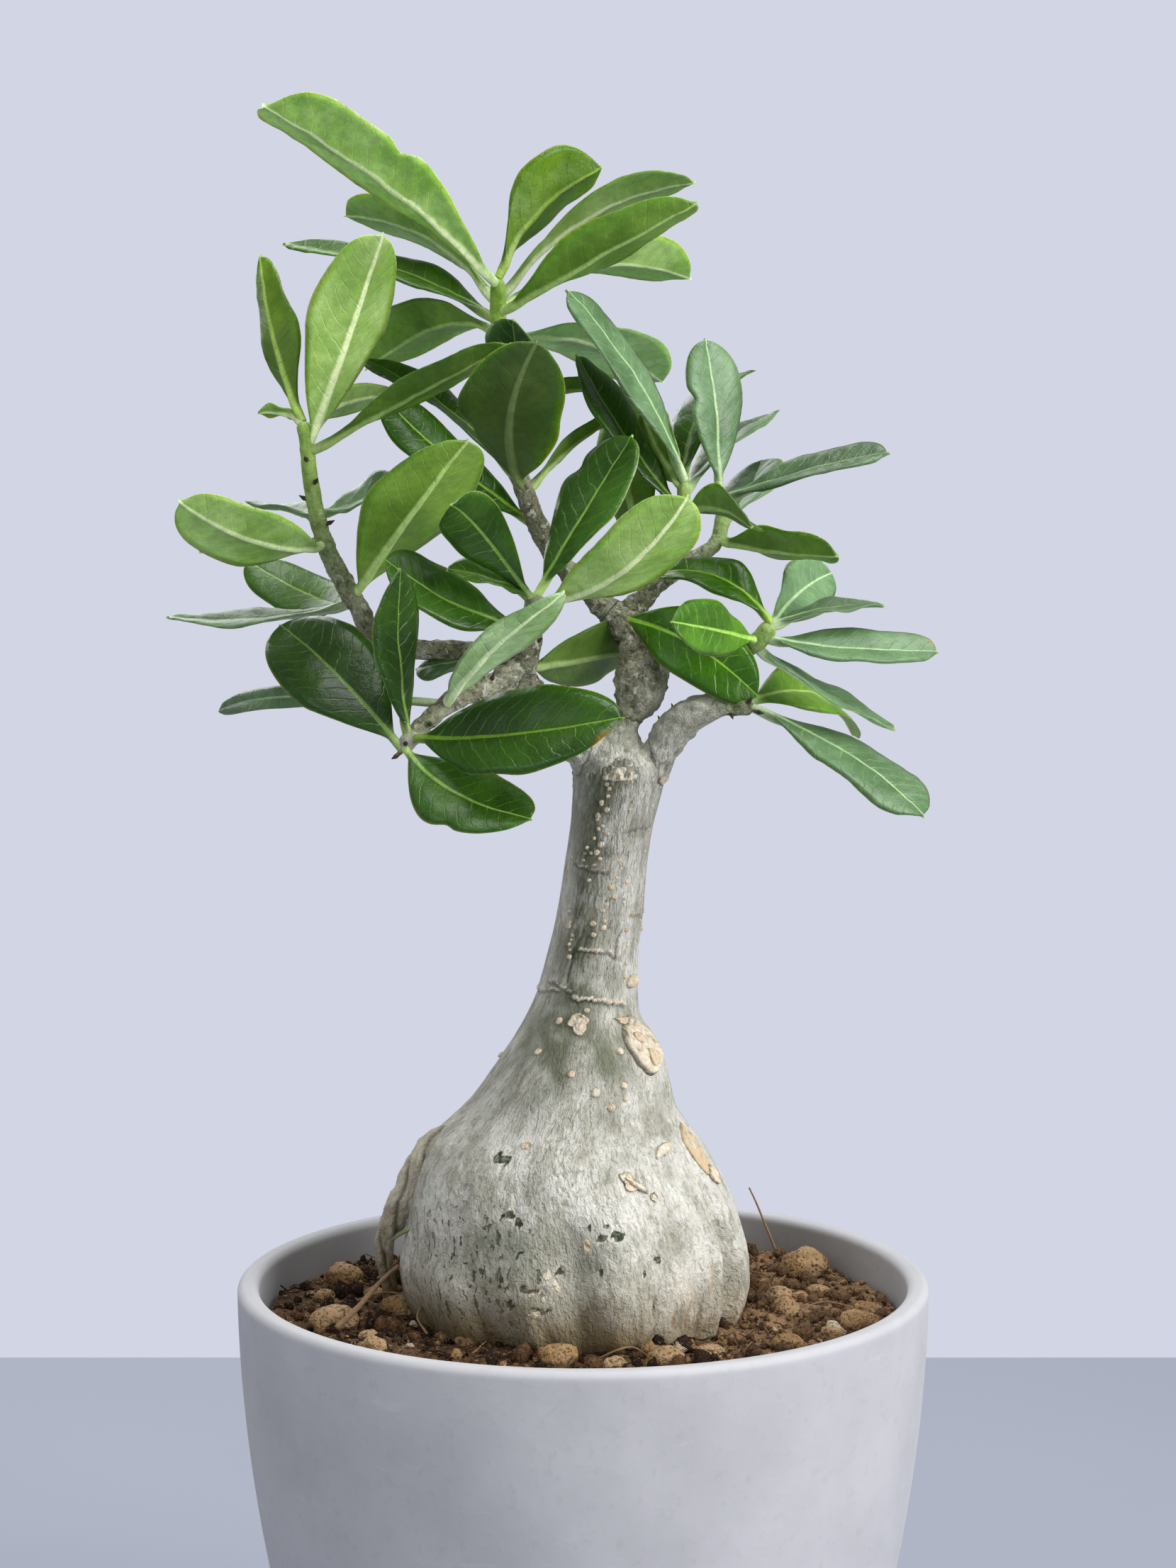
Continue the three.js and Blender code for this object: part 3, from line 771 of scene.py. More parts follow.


# tan streaks on the right flank, a brown stain and furrows at the soil with painted shade in the sunk
# furrows, thin tan cracks, the dark cracks, and a raised thread with a painted shadow beside it
def stainAndCrack(skin):
    streak = skin.drawn(0.10, 3.0, 71)
    onRight = 1.3 * skin.near(-27, 2.2) + 0.4 * skin.near(-48, 22) * skin.below(172, 190)
    skin.deepen("stain", np.clip(onRight * skin.below(190, 214) * ease(streak, -0.2, 0.6), 0, 1))
    skin.deepen("stain", 0.7 * skin.below(166, 176) * ease(streak, -0.9, 0.5))
    furrow = skin.drawn(0.12, 2.4, 75, 2) * skin.below(170, 180)
    skin.raiseBy(0.5 * furrow)
    # painted shade in the sunk furrows
    skin.deepen("dark", 0.55 * ease(-furrow, 0.1, 0.6))
    where = skin.near(-50, 26) * skin.below(176, 192) + 0.5 * skin.near(165, 30)
    thin = ease(skin.drawn(0.16, 1.9, 73, 2), 0.62, 0.85) * where
    skin.raiseBy(-0.6 * thin)
    skin.deepen("stain", thin * 1.2)
    skin.deepen("dark", thin * 0.5)
    for angle, bottom, top in cracks:
        line = skin.fromLine(angle, 0.9, 5, 77)
        reach = skin.above(bottom, bottom + 2) * skin.below(top - 3, top)
        skin.raiseBy(-0.7 * bell(line, 0.4) * reach)
        skin.deepen("dark", 0.75 * bell(line, 0.35) * reach)
    thread = skin.fromLine(-97, 1.0, 4, 79)
    reach = skin.above(264, 268) * skin.below(292, 298)
    skin.raiseBy(0.4 * bell(thread, 0.35) * reach)
    # painted shadow beside the raised thread
    skin.deepen("dark", 0.35 * bell(thread - 0.6, 0.35) * reach)


# relief: broad muscles, then wrinkles drawn out along the grain, then fine creases with painted shade in
# their grooves
def wrinkle(skin):
    root = np.linalg.norm(skin.flat - np.array(airRoot["path"][0]), axis=-1)
    skin.raiseBy(2.0 * bell(root, 9))  # the shoulder is drawn out to meet the root
    fullness = ease(skin.wide, 12, 40)
    skin.raiseBy((0.3 + 0.7 * fullness) * skin.drawn(0.45, 13, 83, 2))
    skin.raiseBy((0.08 + 0.14 * fullness) * skin.drawn(0.3, 2.2, 81, 2))
    groove = fall(np.abs(skin.drawn(0.5, 2.6, 85, 2)), 0.0, 0.22)
    skin.raiseBy(-(0.06 + 0.08 * fullness) * groove)
    # painted shade in the grooves
    skin.masks["dark"] += 0.06 * groove
    skin.raiseBy(skin.above(314, 322) * 0.5 * skin.drawn(1.0, 2.0, 87, 2))


# olive shade round the neck and in a band up the front, dark blotches on the trunk, and a bare peeled patch.
# Dashes are an outline of where dark dashes lie; the material draws them.
def shade(skin):
    cloud = layeredNoise(skin.flat, 7, 91, 3)
    neck = bell(skin.height - 246, 13) * skin.near(-100, 58)
    band = skin.near(-110, 24) * skin.above(250, 262)
    foot = 0.5 * skin.near(-105, 26) * bell(skin.height - 190, 22)
    olive = np.clip((neck + band + foot) * (0.8 + 0.6 * cloud) + 0.2 * cloud, 0, 1)
    blotch = ease(skin.drawn(0.6, 2.0, 93), -0.25, 0.5)
    skin.deepen("dark", 0.9 * blotch * skin.near(-112, 17) * bell(skin.height - 286, 28))
    peeled = skin.above(284, 300) * skin.below(299.5, 300.3) * skin.near(-58, 20)
    skin.raiseBy(-0.25 * peeled)
    skin.masks["olive"] = olive * (1 - peeled)
    dashes = skin.near(-128, 28) * skin.below(198, 212) + 0.75 * skin.near(100, 60) * skin.below(205, 222)
    skin.masks["dashes"] = np.clip(dashes + 0.5 * skin.near(-85, 40) * skin.above(258, 270), 0, 1)
    skin.masks["dark"] = np.clip(skin.masks["dark"], 0, 1)


# the finished skin at any angle and height: its points, its grain and its colour masks
def trunkSkin(turn, height):
    skin = Skin(turn, height)
    for step in (carveValleys, raiseRings, sinkChips, stainAndCrack, wrinkle, shade):
        step(skin)
    x, y = skin.shift + skin.radius * np.cos(turn), skin.radius * np.sin(turn)
    return np.stack([x, y, height], axis=-1), skin.grain, skin.masks


# Rings of skin from the buried end up, closed by a point below and one above
def makeTrunk():
    turn = np.linspace(-np.pi, np.pi, trunk["sides"], endpoint=False)
    turn, height = np.meshgrid(turn, trunkHeights)
    points, grain, masks = trunkSkin(turn, height)
    first, last = trunkRings[0], trunkRings[-1]
    points = np.vstack([points.reshape(-1, 3), [[first[1], 0, first[0] - 3], [last[1], 0, last[0] + 1]]])
    values = {key: np.append(value.ravel(), [0, 0]) for key, value in masks.items()}
    values["grain"] = np.vstack([grain.reshape(-1, 3), grain[[0, -1], 0]]) * mm
    return newObject("swollenBase", points, *ringFaces(*height.shape), values)


# A scar, pip or flake of bark: a small lens that lies on the trunk. It is a round grid with a ragged outline,
# laid on the trunk's surface and raised by a dome, a rim and noise; its underside is sunk below the skin.
# Bow bends it into a crescent. Tan and dark are shares of those colours and pitted of the roughness; dark is
# painted shadow round the edge, and the sunk pits of the roughness get painted shade.
# Drawn under one makes the roughness run upright.
def makeScar(
    angle, level, half, tall, tilt, rise, rim, ragged, pitted, tan, dark,
    bow=0, drawn=1, seed=0, rings=5, sides=14,
):
    reach = np.linspace(0.06, 1, rings)[:, None]
    turn = fullTurn(sides)[None, :]
    edge = 1 + ragged * softNoise(np.stack([1.5 * np.cos(turn), 1.5 * np.sin(turn), 0 * turn], -1), 0.8, seed)
    flat = np.stack([half * reach * edge * np.cos(turn), tall * reach * edge * np.sin(turn)], axis=-1)
    flat[..., 1] -= bow * (flat[..., 0] / half) ** 2
    c, s = math.cos(math.radians(tilt)), math.sin(math.radians(tilt))
    side, up = flat[..., 0] * c - flat[..., 1] * s, flat[..., 0] * s + flat[..., 1] * c
    at, height = math.radians(angle) + side / trunkShape(level)[1], level + up
    points, grain, _ = trunkSkin(at, height)
    out = np.stack([points[..., 0] - trunkShape(height)[0], points[..., 1], 0.35 * up], axis=-1)
    out = out / np.linalg.norm(out, axis=-1, keepdims=True)
    relief = layeredNoise(np.stack([flat[..., 0], flat[..., 1] * drawn, 0 * side], -1), 1.3, seed, 2)
    lift = rise * (1 - reach**3) ** 0.7 + rim * bell(reach - 0.85, 0.12) - 0.15
    lift = lift + pitted * relief * (1 - reach**4)
    # painted shade in the sunk pits and painted shadow round the edge
    crust = ease(-relief, 0.35, 0.9) * min(1, pitted * 2) + dark * bell(reach - 0.98, 0.08)
    top = {
        "cream": 1 + 0 * crust, "tan": tan + 0 * crust, "dark": np.clip(crust, 0, 1), "grain": grain * mm,
    }
    values = {key: np.concatenate([value, value[::-1]]) for key, value in top.items()}
    points = np.concatenate([points + out * lift[..., None], points[::-1] - out[::-1] * 1.2])
    poles = np.stack([points[0].mean(axis=0), points[-1].mean(axis=0)])
    values = {key: np.concatenate([v.reshape(-1, *v.shape[2:]), v[[0, -1], 0]]) for key, v in values.items()}
    quads, tris = ringFaces(2 * rings, sides)
    return np.vstack([points.reshape(-1, 3), poles]), quads[:, ::-1], tris[:, ::-1], values


# joins several small bodies into one object
def joinBodies(name, bodies):
    starts = np.cumsum([0] + [len(body[0]) for body in bodies])
    points = np.vstack([body[0] for body in bodies])
    quads = np.vstack([body[1] + start for body, start in zip(bodies, starts)])
    tris = np.vstack([body[2] + start for body, start in zip(bodies, starts)])
    keys = bodies[0][3] if len(bodies[0]) > 3 else {}
    values = {key: np.concatenate([body[3][key] for body in bodies]) for key in keys}
    return newObject(name, points, quads, tris, values)


# the large scars and flakes, in makeScar's order up to its shade
bigScars = [
    (-35, 245.4, 6.4, 7.6, -8, 0.9, 1.5, 0.14, 0.35, 0.1, 0.9),  # stub of a cut branch
    (-37, 247.6, 1.7, 1.5, 0, 2.1, 0.5, 0.2, 0.3, 0.4, 1.0),
    (-32, 241.8, 2.0, 2.5, 0, 2.1, 0.6, 0.2, 0.3, 0.5, 1.0),
    (-43, 252.1, 3.4, 0.9, -14, 1.2, 0.3, 0.5, 0.6, 0.5, 0.8),
    (-95, 252.4, 2.7, 3.0, 10, 0.7, 0.45, 0.3, 0.30, 0.1, 0.5),
    (-88, 322.4, 5.6, 2.0, 3, 0.55, 0.15, 0.35, 0.8, 0.1, 0.7, 0.3, 0.25),  # crust under the fork
    (-20, 320.6, 2.8, 1.3, 4, 1.3, 0.5, 0.2, 0.4, 0.3, 0.9),
    (-17, 214.6, 4.6, 8.6, 12, 0.3, 0.35, 0.12, 0.3, 0.7, 0.9),  # strip of bared wood
    (-15, 207.4, 3.0, 2.4, 0, 1.3, 0.6, 0.35, 0.4, 0.2, 1.0),
    (-41, 217.8, 5.0, 1.15, 14, 1.0, 0.3, 0.08, 0.1, 0.0, 0.9, 1.0),  # curling flake
    (-63.5, 211.2, 2.7, 2.2, -35, 0.5, 0.8, 0.35, 0.5, 0.2, 0.9),
    (-60.5, 209.9, 3.9, 0.8, -38, 1.9, 0.0, 0.2, 0.3, 0.0, 1.0),
    (-55, 206.6, 1.5, 1.2, 0, 0.4, 0.5, 0.3, 0.4, 0.4, 0.9),
    (-109, 220.4, 1.5, 0.9, 10, 0.4, 0.3, 0.4, 0.4, 0.5, 0.9),
    (-84, 195.2, 1.0, 2.4, -12, 0.4, 0.1, 0.3, 0.2, 0.4, 0.2),
    (-98, 187.0, 1.2, 1.4, 0, 0.4, 0.1, 0.4, 0.2, 0.1, 0.3),
    (-95, 184.0, 0.9, 1.6, 20, 0.4, 0.1, 0.4, 0.2, 0.1, 0.3),
    (-99, 180.5, 1.0, 1.0, 0, 0.4, 0.1, 0.4, 0.2, 0.0, 0.3),
    (-102, 176.4, 1.8, 0.9, 0, 0.5, 0.1, 0.4, 0.2, 0.0, 0.4),
    (100, 252, 4.0, 4.2, 0, 1.4, 0.7, 0.2, 0.5, 0.2, 0.6),
    (60, 215, 4.0, 1.6, 30, 0.8, 0.4, 0.2, 0.3, 0.4, 0.6, 0.8),
]
# lone pips on the shoulder: angle, height, radius
pips = [
    (-129, 244, 1.1), (-97, 239, 1.15), (-79, 234, 1.5), (-61, 244.5, 1.25), (-60.5, 235.4, 1.25),
    (-68, 229.8, 1.3), (-116, 252.5, 1.1), (-59, 231.8, 0.9), (-27, 262.5, 2.6), (-88, 255.6, 1.0),
    (60, 240, 1.2), (120, 236, 1.2), (150, 246, 1.1), (20, 232, 1.2), (92, 250, 1.1), (178, 240, 1.2),
]
# rows of leaf scars up the trunk: from [angle, height] to [angle, height], how many, and their radius
scarRows = [
    ((-100, 320.5), (-112, 304), 11, 0.85), ((-100, 306), (-104, 296), 5, 0.9),
    ((-116, 303), (-128, 297), 4, 0.8),
    ((-66, 300), (-90, 277), 9, 0.85), ((-134, 285), (-124, 269), 9, 0.75), ((-74, 316), (-54, 284), 6, 0.75),
    ((-54, 284), (-42, 262), 5, 0.8), ((-30, 316), (-12, 264), 8, 0.7), ((40, 318), (62, 262), 12, 0.8),
    ((130, 318), (112, 262), 12, 0.8), ((-170, 300), (170, 255), 9, 0.8), ((-96, 281), (-92, 276), 2, 1.0),
]


# Every scar, flake and pip as one piece: the listed ones, then the rows with their places a little shuffled
def makeScars():
    draw = np.random.default_rng(11)
    bodies = [makeScar(*row, seed=500 + i, rings=12, sides=44) for i, row in enumerate(bigScars)]
    rows = [(angle, level, size, 0.9) for angle, level, size in pips]
    for (angle0, high0), (angle1, high1), count, size in scarRows:
        share = (np.arange(count) + 0.5) / count
        angles = angle0 + (angle1 - angle0) * share + draw.uniform(-6, 6, count)
        levels = high0 + (high1 - high0) * share + draw.uniform(-0.8, 0.8, count)
        rows += [(a, h, size * draw.uniform(0.7, 1.2), 0.75) for a, h in zip(angles, levels)]
    for i, (angle, level, size, rise) in enumerate(rows):
        tall, tilt, tan = size * draw.uniform(0.75, 1.05), draw.uniform(-20, 20), draw.uniform(0, 0.5)
        shape = (angle, level, size, tall, tilt, rise * size, 0.0, 0.12, 0.12, tan, 0.5)
        bodies.append(makeScar(*shape, seed=600 + i))
    return joinBodies("barkScars", bodies)


# A root with furrows along it: the radius is the listed one, plus noise drawn out along the length
def makeAirRoot():
    rings, sides = airRoot["rings"], airRoot["sides"]
    points, ahead, length = walk(airRoot["path"], rings)
    base = throughRows(airRoot["radii"], np.linspace(0, 1, rings))[:, None]
    turn = fullTurn(sides)[None, :]
    run = np.linspace(0, length, rings)[:, None] + 0 * turn
    slip = 0.6 * softNoise(np.stack([0 * run, 0 * run, run], -1), 9, 105)
    cords = np.abs(np.sin(1.5 * (turn + 0.10 * run + slip))) ** 0.8
    around = np.stack([3 * np.cos(turn + run * 0.1), 3 * np.sin(turn + run * 0.1), run * 0.2], axis=-1)
    strands = cords * (1 - 0.5 * np.abs(layeredNoise(around, 1.8, 101, 2)))
    knobbly = np.stack([3 * np.cos(turn) + 0 * run, 3 * np.sin(turn) + 0 * run, run * 0.7], axis=-1)
    radius = base * (0.74 + 0.38 * strands + 0.18 * layeredNoise(knobbly, 3.0, 103, 3))
    placed, own = tubePoints(points, ahead, radius, sides)
    # painted shade in the furrows between the cords
    dark = np.append(fall(strands, 0.1, 0.5).ravel() * 0.85, [0, 0])
    ones = np.ones(len(placed))
    values = {"grain": own * mm, "dark": dark, "stem": 0.15 * ones, "olive": 0.3 * ones, "stain": 0.35 * ones}
    return newObject("airRoot", placed, *ringFaces(rings, sides), values)


# a plain round twig along a path, from one thickness to another, a little uneven
def makeTwig(name, path, thick, thin, seed, values=None, rings=36, sides=10):
    points, ahead, _ = walk(path, rings)
    radius = np.linspace(thick, thin, rings)[:, None] * (1 + 0.15 * softNoise(points, 2, seed))[:, None]
    placed, own = tubePoints(points, ahead, radius, sides)
    given = {key: np.full(len(placed), value) for key, value in (values or {}).items()}
    return newObject(name, placed, *ringFaces(rings, sides), {"grain": own * mm, **given})


finishPiece(makeTrunk(), barkLook, "bark", "plant_body")
finishPiece(makeScars(), barkLook, "bark")
finishPiece(makeAirRoot(), barkLook, "bark")
sprout = [[-57, -7, 186.5], [-54, -10, 189], [-50.5, -13, 191.5], [-48, -15, 193]]
sproutLook = {"stem": 0.8, "young": 0.4, "tan": 0.8, "olive": 0.6}
finishPiece(makeTwig("rootSprout", sprout, 0.75, 0.7, 110, sproutLook), barkLook, "bark")
print("trunk made")

# each stem's path, its radii at even steps along it, and how young its skin is at the start and end
stems = {
    "collar": (
        [[10, 0, 319], [10.6, 0, 323], [10.6, 0, 327], [11, 0, 331], [12.5, 0, 335]],
        [12.4, 13.0, 11.4, 7.2, 4.6], (0, 0),
    ),
    "centre": (
        [[11, 0, 326], [11, 0, 331], [12, 0, 335.5], [15, 1, 342], [16.6, 1, 347.5], [17, 2, 354],
         [14.5, 3, 361], [9, 4, 367]],
        [8, 4.8, 4.2, 7.2, 7.6, 6.2, 4.9, 4.4], (0, 0),
    ),
    "lowRight": (
        [[14, -1, 316], [20.6, -3, 325], [24, -5, 332], [28.3, -6, 337.3], [34.5, -8, 340.8], [41, -10, 342],
         [48, -12, 341.3]],
        [5.6, 5.4, 5.1, 5.3, 4.5, 3.2, 2.3], (0, 0.1),
    ),
    "right": (
        [[14, 5, 350], [28, 5, 355], [41, -2, 356.5], [49, -11, 360], [53, -13, 365]],
        [4.4, 3.6, 3.0, 2.9, 2.6], (0, 0.7),
    ),
    "leftFork": (
        [[6, 0, 321], [1, -2, 329], [-6, -4, 335.5], [-13, -7, 342], [-17.5, -10, 350]],
        [8.2, 6.4, 5.2, 4.9, 4.2], (0, 0),
    ),
    "lowLeft": (
        [[-16, -9, 353], [-27, -16, 347], [-35, -21, 345], [-47, -27, 335], [-50, -29, 331]],
        [4.0, 3.7, 3.0, 2.6, 2.5], (0, 0.1),
    ),
    "heart": ([[-17, -10, 351], [-15, -11, 361], [-13, -12, 373]], [3.7, 3.5, 3.0], (0, 0.2)),
    "left": (
        [[-15, -9, 352], [-27, -3, 356], [-37, 1, 357], [-48, 3, 357], [-59, 5, 359],
         [-64, 6, 368], [-73, 6, 385], [-77, 6, 400], [-79, 5, 417], [-80, 5, 422]],
        [3.3, 3.0, 2.9, 2.9, 3.0, 2.9, 2.7, 2.5, 2.3, 2.1], (0, 0.85),
    ),
    "crown": (
        [[12, 4, 364], [1, 4, 374.5], [-9, 4, 385], [-17, 3, 403],
         [-21, 2, 417], [-23, 2, 435], [-24, 2, 451], [-24, 2, 462]],
        [4.3, 3.5, 3.1, 3.0, 2.8, 2.6, 2.5, 2.2], (0, 1.0),
    ),
    "shoulder": (
        [[10, 4, 364], [21, 8, 375], [31, 11, 382], [38, 13, 387], [40, 13, 394], [39, 12, 402]],
        [4.1, 3.1, 2.7, 2.4, 2.2, 2.0], (0, 0.7),
    ),
    "spur": ([[24, 9, 377], [28, 9, 390], [29, 8, 405]], [2.4, 2.2, 2.0], (0.2, 0.7)),
}
stemMesh = {
    "steps": 160, "step": 1.2, "sides": 28, "voxel": 0.6, "smooth": 5, "smoothShare": 0.5, "portions": 20,
}
stemWalks = {name: walk(path, stemMesh["steps"]) for name, (path, radii, young) in stems.items()}


# the place on a stem at a share of its length
def stemPoint(name, at):
    points = stemWalks[name][0]
    return np.array([np.interp(at, np.linspace(0, 1, len(points)), points[:, k]) for k in range(3)])


# moves each point of a mesh by a share of the way to the middle of its joined neighbours, some rounds over
def smoothPoints(mesh, placed, rounds, share):
    edges = np.empty(len(mesh.edges) * 2, np.int32)
    mesh.edges.foreach_get("vertices", edges)
    a, b = edges.reshape(-1, 2).T
    ends, others = np.concatenate([a, b]), np.concatenate([b, a])
    degree = np.bincount(ends, minlength=len(placed))[:, None]
    for _ in range(rounds):
        near = np.stack([np.bincount(ends, placed[others, k], len(placed)) for k in range(3)], axis=1)
        placed = placed + share * (near / degree - placed)
    return placed


# All stems as one skin: a tube for each, joined on a voxel grid and smoothed, then roughened by lumps, ridges
# round the stem and creases. A point's grain is its place in the frame of the nearest stem.
def makeStems():
    tubes = []
    for name, (path, radii, ages) in stems.items():
        count = max(8, int(stemWalks[name][2] / stemMesh["step"]))
        points, ahead, length = walk(path, count)
        share = np.linspace(0, 1, count)
        radius = throughRows(radii, share) * np.clip((1 - share) * length / 2.2 + 0.35, 0, 1) ** 0.5
        placed, _ = tubePoints(points, ahead, radius, stemMesh["sides"])
        tubes.append((placed, *ringFaces(count, stemMesh["sides"])))
    piece = joinBodies("stems", tubes)
    skin = piece.modifiers.new("skin", "REMESH")
    skin.mode, skin.voxel_size = "VOXEL", stemMesh["voxel"] * mm
    applyModifiers(piece)
    mesh = piece.data
    placed = np.empty(len(mesh.vertices) * 3, np.float32)
    mesh.vertices.foreach_get("co", placed)
    placed = placed.reshape(-1, 3).astype(float) / mm
    placed = smoothPoints(mesh, placed, stemMesh["smooth"], stemMesh["smoothShare"])

    best, second = np.full(len(placed), 1e9), np.full(len(placed), 1e9)
    grain, young, offset = np.zeros_like(placed), np.zeros(len(placed)), np.zeros_like(placed)
    for order, (name, (path, radii, ages)) in enumerate(stems.items()):
        points, ahead, length = stemWalks[name]
        first, other = carriedFrames(ahead)
        run = np.linspace(0, length, len(points))
        size = throughRows(radii, np.linspace(0, 1, len(points)))
        for part in np.array_split(np.arange(len(placed)), stemMesh["portions"]):
            gap = placed[part][:, None] - points[None]
            far = np.linalg.norm(gap, axis=2) - size[None]
            i = far.argmin(axis=1)
            near = far[np.arange(len(part)), i]
            won = near < best[part]
            second[part] = np.where(won, best[part], np.minimum(second[part], near))
            rows, j = part[won], i[won]
            gap = placed[rows] - points[j]
            along = np.einsum("ij,ij->i", gap, ahead[j])
            grain[rows, 0] = np.einsum("ij,ij->i", gap, first[j])
            grain[rows, 1] = np.einsum("ij,ij->i", gap, other[j])
            grain[rows, 2] = run[j] + along + 100 * order
            offset[rows] = gap - along[:, None] * ahead[j]
            young[rows] = ages[0] + (ages[1] - ages[0]) * ease(j / len(points), 0.45, 0.95)
            best[rows] = near[won]
    out = offset / np.maximum(np.linalg.norm(offset, axis=1, keepdims=True), 1e-6)
    old = 1 - young
    level = placed[:, 2]

    def farFrom(*place):
        return np.linalg.norm(placed - np.array(place), axis=1)

    # smooth bark just above the trunk and at the knee of the low right stem, crumbly bark at the forks
    above, knee = ease(level, 327, 338), farFrom(29, -6, 336)
    smoothGrey = np.maximum(fall(level, 334, 337), fall(knee, 8, 15))
    crumbly = ease(level, 334.5, 337.5) * fall(farFrom(14, 2, 352), 16, 32) * ease(knee, 9, 14)
    crumbly = np.maximum(crumbly, 0.75 * bell(farFrom(-24, -13, 349), 13))
    collar = bell(level - 327, 3.5)
    lumps = layeredNoise(placed * np.array([1, 1, 1.2]), 2.4, 123, 4)
    rings = layeredNoise(grain * np.array([0.2, 0.2, 1.0]), 2.6, 121, 2) * ease(second - best, 0, 3)
    knobs = ease(layeredNoise(placed, 3.0, 125, 1), 0.4, 0.85)
    amount = 0.10 + 0.22 * old + 0.5 * crumbly + 0.4 * collar
    rise = amount * lumps + 0.16 * rings * (0.4 + 0.6 * old) + 0.5 * knobs * old * above
    placed = placed + out * rise[:, None]
    mesh.vertices.foreach_set("co", (placed * mm).astype(np.float32).ravel())
    crust = 0.2 * ease(-lumps, 0.2, 1.0) + 0.25 * ease(rings, 0.5, 1.0)
    values = {
        "grain": grain * mm,
        "young": young,
        "stem": (1 - 0.72 * smoothGrey) * ease(level, 326, 330),
        "olive": 0.35 * ease(lumps, -0.2, 0.8) + 0.35 * smoothGrey * above,
        "cream": old * np.maximum(above * (0.06 + 0.2 * crumbly), 0.26 * collar),
        "tan": np.full(len(placed), 0.4),
        "crust": np.clip(crust * old, 0, 1) * above * (1 - smoothGrey),
        # painted shade in the hollows between the lumps, most on the crumbly forks and the collar
        "dark": np.clip(ease(-lumps, 0.3, 1.2) * (0.2 + 0.6 * crumbly + 0.5 * collar) * old, 0, 1),
    }
    for key, value in values.items():
        addValue(mesh, key, value)
    mesh.update()
    return piece


finishPiece(makeStems(), barkLook, "bark")

# dry stubs of fallen leaves: stem, place along it, heading, rise, length
stubs = [
    ("centre", 0.74, -170, 10, 8.5), ("centre", 0.86, 175, 20, 8), ("centre", 0.93, -150, 35, 7.5),
    ("centre", 0.66, -60, 10, 9.2), ("lowRight", 0.98, -40, -20, 5.2), ("lowRight", 0.94, -60, 30, 5.2),
    ("lowRight", 0.42, 170, 60, 6.4), ("lowRight", 0.86, -80, -50, 5.4), ("lowRight", 0.52, 120, 50, 6.6),
    ("left", 0.84, -60, 20, 4.6), ("left", 0.80, 170, 15, 4.6), ("left", 0.74, -20, 10, 4.8),
    ("left", 0.90, -100, 10, 4.4), ("left", 0.95, 100, 20, 4.4), ("heart", 0.4, -40, 10, 5.2),
    ("heart", 0.6, -20, 20, 5.0), ("lowLeft", 0.3, -60, 50, 5.4), ("lowLeft", 0.75, -80, -20, 4.6),
    ("lowLeft", 1.0, -150, -40, 4.4), ("lowLeft", 0.96, -90, 10, 4.2), ("right", 0.55, -60, 60, 5.0),
    ("right", 0.75, -120, 20, 4.8), ("right", 0.9, -30, 60, 4.6), ("shoulder", 0.5, -90, 20, 4.6),
]


# dry stubs: each is a cone with a bent tip, standing out of its stem
def makeStubs():
    radii = np.array([0.95, 0.8, 0.65, 0.6, 0.7, 0.4, 0.12])
    rings, sides = len(radii), 9
    bodies = []
    for name, at, heading, rise, length in stubs:
        start = stemPoint(name, at)
        h, r = math.radians(heading), math.radians(rise)
        way = np.array([math.cos(h) * math.cos(r), math.sin(h) * math.cos(r), math.sin(r)])
        path = [start, start + way * length * 0.6, start + way * length + [0, 0, 0.5]]
        points, ahead, _ = walk(path, rings)
        placed, own = tubePoints(points, ahead, radii, sides)
        share = np.append(np.repeat(np.linspace(0, 1, rings), sides), [0, 1])
        values = {"grain": own * mm, "stem": 1 + 0 * share}
        values |= {"crust": ease(share, 0.1, 0.4), "dark": ease(share, 0.3, 0.7)}
        bodies.append((placed, *ringFaces(rings, sides), values))
    return joinBodies("stubs", bodies)


finishPiece(makeStubs(), barkLook, "bark")
print("stems made")

# How each kind of leaf is coloured: above with its darker parts and veins, below with its darker parts and
# keel. Gloss and matt are the roughness above and below, and lines is how strong the side veins are.
leafLooks = {
    "fresh": {
        "above": (116, 158, 44), "deep": (82, 126, 20), "vein": (178, 206, 112), "below": (160, 184, 114),
        "belowDeep": (126, 156, 74), "keel": (214, 228, 178), "gloss": 0.34, "matt": 0.4, "lines": 0.34,
    },
    "green": {
        "above": (68, 110, 20), "deep": (46, 84, 10), "vein": (140, 178, 80), "below": (118, 148, 58),
        "belowDeep": (88, 118, 34), "keel": (176, 200, 124), "gloss": 0.34, "matt": 0.48, "lines": 0.32,
    },
    "deep": {
        "above": (48, 82, 20), "deep": (30, 58, 10), "vein": (118, 154, 66), "below": (130, 160, 88),
        "belowDeep": (104, 134, 60), "keel": (178, 202, 130), "gloss": 0.32, "matt": 0.5, "lines": 0.28,
    },
    # a waxy bloom, with painted sheen for upper faces that look grey from the pale room's reflection
    "grey": {
        "above": (96, 126, 88), "deep": (70, 100, 62), "vein": (160, 186, 136), "below": (146, 168, 126),
        "belowDeep": (114, 140, 90), "keel": (190, 208, 164), "gloss": 0.36, "matt": 0.5, "lines": 0.28,
    },
    "vivid": {
        "above": (48, 92, 0), "deep": (30, 66, 0), "vein": (128, 172, 44), "below": (106, 142, 8),
        "belowDeep": (82, 116, 0), "keel": (172, 202, 96), "gloss": 0.30, "matt": 0.48, "lines": 0.38,
    },
}
leafMesh = {
    "rings": 62, "across": 17, "thick": 0.42, "veinGap": 4.6, "petiole": 0.05, "petioleHalf": 1.25,
    "blunt": 0.985, "veinSlant": 0.55,
}


